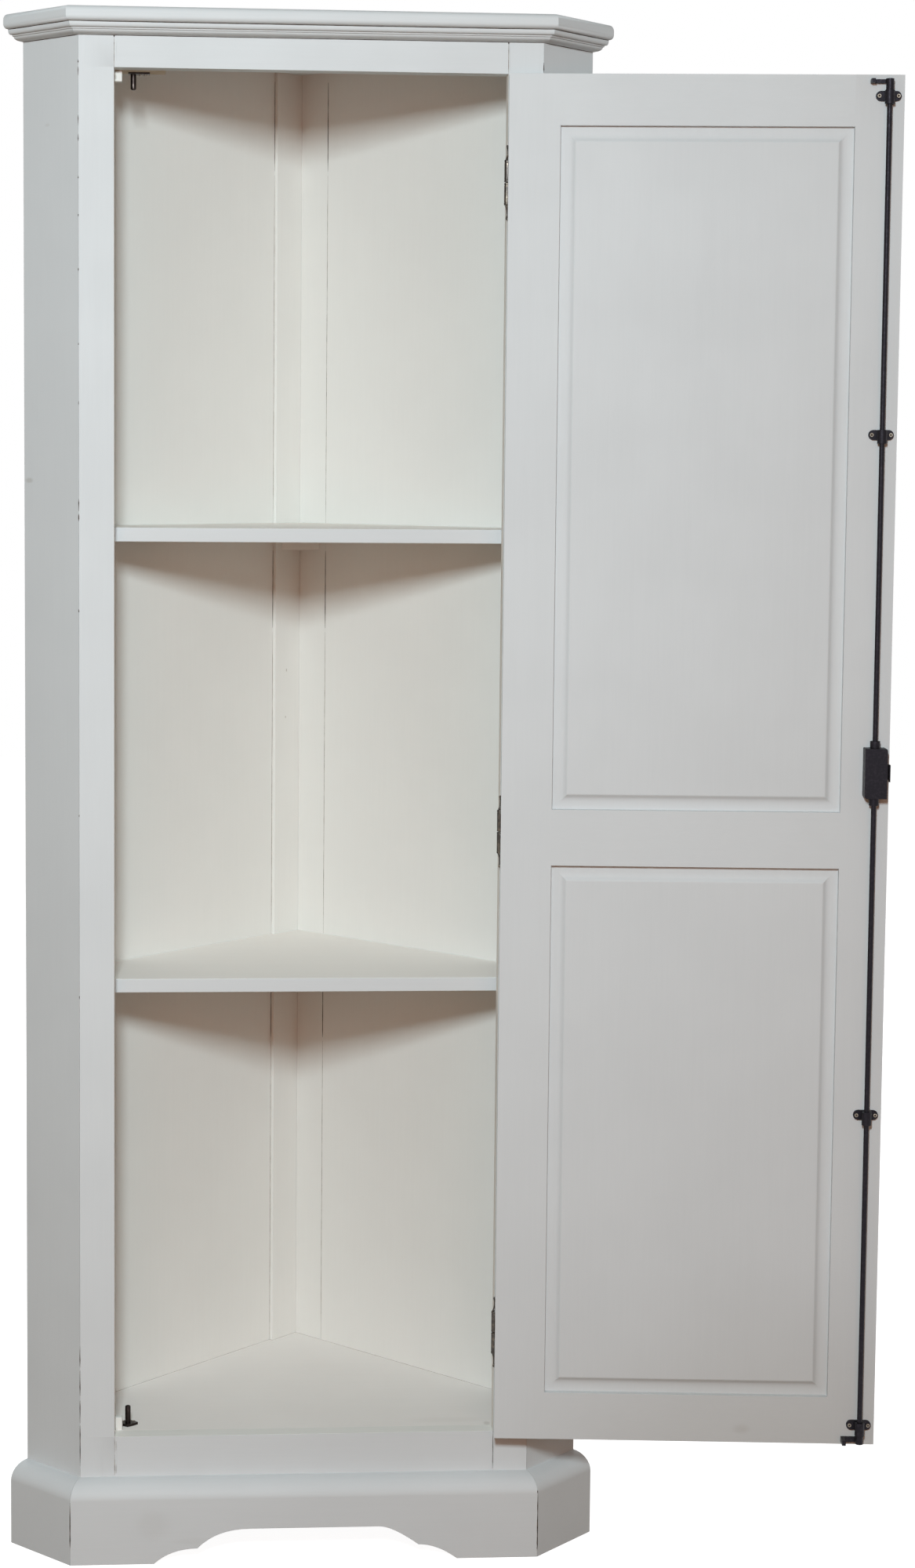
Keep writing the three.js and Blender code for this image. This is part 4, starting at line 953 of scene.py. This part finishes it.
# %% Nails at the back
NAIL_HEAD = [(0, -0.3), (2.0, -0.3), (2.1, 0.02), (1.2, 0.12), (0, 0.14)]
NAIL_HEIGHTS, NAIL_WAYS = (144, 712.5, 1273.5), (60, 140, 220, 300)
WALL_CORNER_Y, STRAY = 7, 3


def nails(name, side, heights, ways):
    mesh = bmesh.new()
    turn = Vector((side, 1, 0)).to_track_quat("Z", "Y").to_matrix().to_4x4()
    for way in ways:
        for height in heights:
            before = set(mesh.verts)
            spun(mesh, NAIL_HEAD, Vector((0, 0, 0)), 12)
            middle = Vector((side * way, WALL_CORNER_Y - way, height + STRAY * math.sin(way * height)))
            place = Matrix.Translation(middle * MM) @ turn
            for vertex in set(mesh.verts) - before:
                vertex.co = place @ vertex.co
    bmesh.ops.recalc_face_normals(mesh, faces=mesh.faces)
    print(name, "has", len(heights) * len(ways), "nails")
    return finished(name, mesh, "carcase", dull_bead)


for label, side in (("left_back_nails", -1), ("right_back_nails", 1)):
    nails(label, side, NAIL_HEIGHTS, NAIL_WAYS)

# %% [markdown]
# ## Locks and rods
# The other metal pieces have their true shapes in the solids. Their edges are eased like the
# boards', only finer, and each takes the finish of its slot. The two keeps are browner and
# smoother than the rest of the iron.

# %% Ironwork and screws
BODY_OF = {node: body for body, nodes in frame["record"]["behaviour"]["bodies"].items() for node in nodes}
SLOT_OF = {part["node"]: part["material_slot"] for part in frame["record"]["subparts"]}
METALS = {"dark_iron": (iron, 0.35), "dark_bronze": (bronze, 0.3), "screw_steel": (steel, 0.15)}
MADE_ELSEWHERE = ("hinge", "guide_screw", "lock_case")

for node_name, slot_name in SLOT_OF.items():
    if slot_name in METALS and not any(word in node_name for word in MADE_ELSEWHERE):
        metal, radius = METALS[slot_name]
        metal = keep_iron if "keep" in node_name else metal
        dressed(node_name, BODY_OF[node_name], metal, radius, 2)
print("metal pieces:", sum(slot in METALS for slot in SLOT_OF.values()))

# %% [markdown]
# The lock case is a pressed box. Two opposite corners of its face are rounder than the others,
# its front edge is soft, and a tab beside it reaches the edge of the door. The tab takes the last
# three millimetres of the solid, so the box of the lock stays the same.

# %% Lock case
TAB_REACH, TAB_SUNK, TAB_LOW, TAB_HIGH, TAB_STANDS = 3, 0.4, 22.7, 40.8, 9


def local_box(node):
    points = [DOOR_PLACE.inverted() @ vertex.co / MM for vertex in frame["nodes"][node].data.vertices]
    return [Vector([pick(point[a] for point in points) for a in range(3)]) for pick in (min, max)]


def rounded(corners, steps=5):
    """The outline of a shape from a list of (x, z, radius)."""
    points = []
    for index, (x, z, radius) in enumerate(corners):
        here = Vector((x, z))
        before, after = (Vector(corners[(index + k) % len(corners)][:2]) - here for k in (-1, 1))
        before, after = before.normalized() * radius, after.normalized() * radius
        for step in range(steps + 1):
            turn = math.radians(90) * step / steps
            points.append(here + before * (1 - math.sin(turn)) + after * (1 - math.cos(turn)))
    return points


def raised_box(mesh, outline, low, high, soft):
    rings = [[mesh.verts.new(on_door(x, y, z)) for x, z in outline] for y in (low, high)]
    count = len(outline)
    for a in range(count):
        mesh.faces.new((rings[0][a], rings[0][(a + 1) % count], rings[1][(a + 1) % count], rings[1][a]))
    mesh.faces.new(rings[0])
    mesh.faces.new(rings[1])
    edges = [mesh.edges.get((rings[1][a], rings[1][(a + 1) % count])) for a in range(count)]
    bmesh.ops.bevel(mesh, geom=edges, offset=soft * MM, segments=3, profile=0.5, affect="EDGES")


def lock_case():
    low, high = local_box("lock_case")
    mesh = bmesh.new()
    side = low.x + TAB_REACH
    body = [(side, low.z, 0.6), (high.x, low.z, 3.2), (high.x, high.z, 0.6), (side, high.z, 2.2)]
    raised_box(mesh, rounded(body), low.y, high.y, 0.9)
    inner, foot, head = side + TAB_SUNK, low.z + TAB_LOW, low.z + TAB_HIGH
    tab = [(low.x, foot, 0.4), (inner, foot, 0.4), (inner, head, 0.4), (low.x, head, 0.4)]
    raised_box(mesh, rounded(tab, 2), low.y, low.y + TAB_STANDS, 0.5)
    bmesh.ops.recalc_face_normals(mesh, faces=mesh.faces)
    print("the lock case stands", round(high.y - low.y, 1), "mm from the door")
    return finished("pressed_lock_case", mesh, "door", iron, ["lock_case"])


lock_case()

# %% [markdown]
# Each guide is held by two screws with a shallow recess in the middle of a bright head. The
# recess takes the dark finish of the open joints, as a painted shade. The plate of the top keep
# hangs from two round-headed screws, and the plate of the bottom keep has a countersunk screw on
# each side of its pin.

# %% Screws
ROUND_HEAD = [(0, 0), (1.9, 0), (2.0, -0.3), (1.7, -0.95), (1.1, -1.4), (0, -1.6)]
SUNK_HEAD = [(0, 0.5), (0.9, 0.5), (1.1, 0.16), (1.9, 0.12), (2.1, 0), (2.1, -0.4), (0, -0.4)]
RECESS = 0.5
TOP_KEEP_SCREWS, BOTTOM_KEEP_SHARES = (14.0, 21.0), (0.22, 0.78)
TOP_PLATE, BOTTOM_PLATE, BOTTOM_SCREWS_AHEAD = 2.0, 3.0, 5.5


def screw_head(name, profile, x, y, z):
    mesh = bmesh.new()
    spun(mesh, profile, Vector((x, y, z)) * MM, 16)
    bmesh.ops.recalc_face_normals(mesh, faces=mesh.faces)
    return finished(name, mesh, "carcase", steel)


def guide_screw(node):
    low, high = local_box(node)
    radius, top = (high.z - low.z) / 2, high.y - low.y
    profile = [
        (0, 0), (radius, 0), (radius, top * 0.6), (radius * 0.8, top), (radius * 0.5, top),
        (radius * 0.32, top - RECESS), (0, top - RECESS),
    ]
    mesh = bmesh.new()
    spun(mesh, profile, Vector((0, 0, 0)), 20)
    centre = on_door((low.x + high.x) / 2, low.y, (low.z + high.z) / 2)
    laid_over = DOOR_PLACE.to_3x3().to_4x4() @ Matrix.Rotation(math.radians(-90), 4, "X")
    mesh.transform(Matrix.Translation(centre) @ laid_over)
    bmesh.ops.recalc_face_normals(mesh, faces=mesh.faces)
    axis = DOOR_PLACE.to_3x3() @ Vector((0, 1, 0))
    # The middle of each head takes the dark finish: a painted shade for the recess.
    for face in mesh.faces:
        away = face.calc_center_median() - centre
        face.material_index = int((away - axis * away.dot(axis)).length < radius * 0.48 * MM)
    piece = finished("turned_" + node, mesh, "door", steel, [node])
    piece.data.materials.append(crack_and_painted_shade)
    return piece


guide_screws = [guide_screw(node) for node in SLOT_OF if "guide_screw" in node]
print("screws of the guides:", len(guide_screws))

low, high = (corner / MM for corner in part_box("top_keep"))
for index, ahead in enumerate(TOP_KEEP_SCREWS):
    x, y = low.x + ahead, (low.y + high.y) / 2
    screw_head(f"top_keep_screw_{index + 1}", ROUND_HEAD, x, y, high.z - TOP_PLATE)
low, high = (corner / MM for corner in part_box("bottom_keep"))
for index, share in enumerate(BOTTOM_KEEP_SHARES):
    x, y = low.x + (high.x - low.x) * share, high.y - BOTTOM_SCREWS_AHEAD
    screw_head(f"bottom_keep_screw_{index + 1}", SUNK_HEAD, x, y, low.z + BOTTOM_PLATE)
print("screws of the keeps:", len(TOP_KEEP_SCREWS) + len(BOTTOM_KEEP_SHARES))

# %% [markdown]
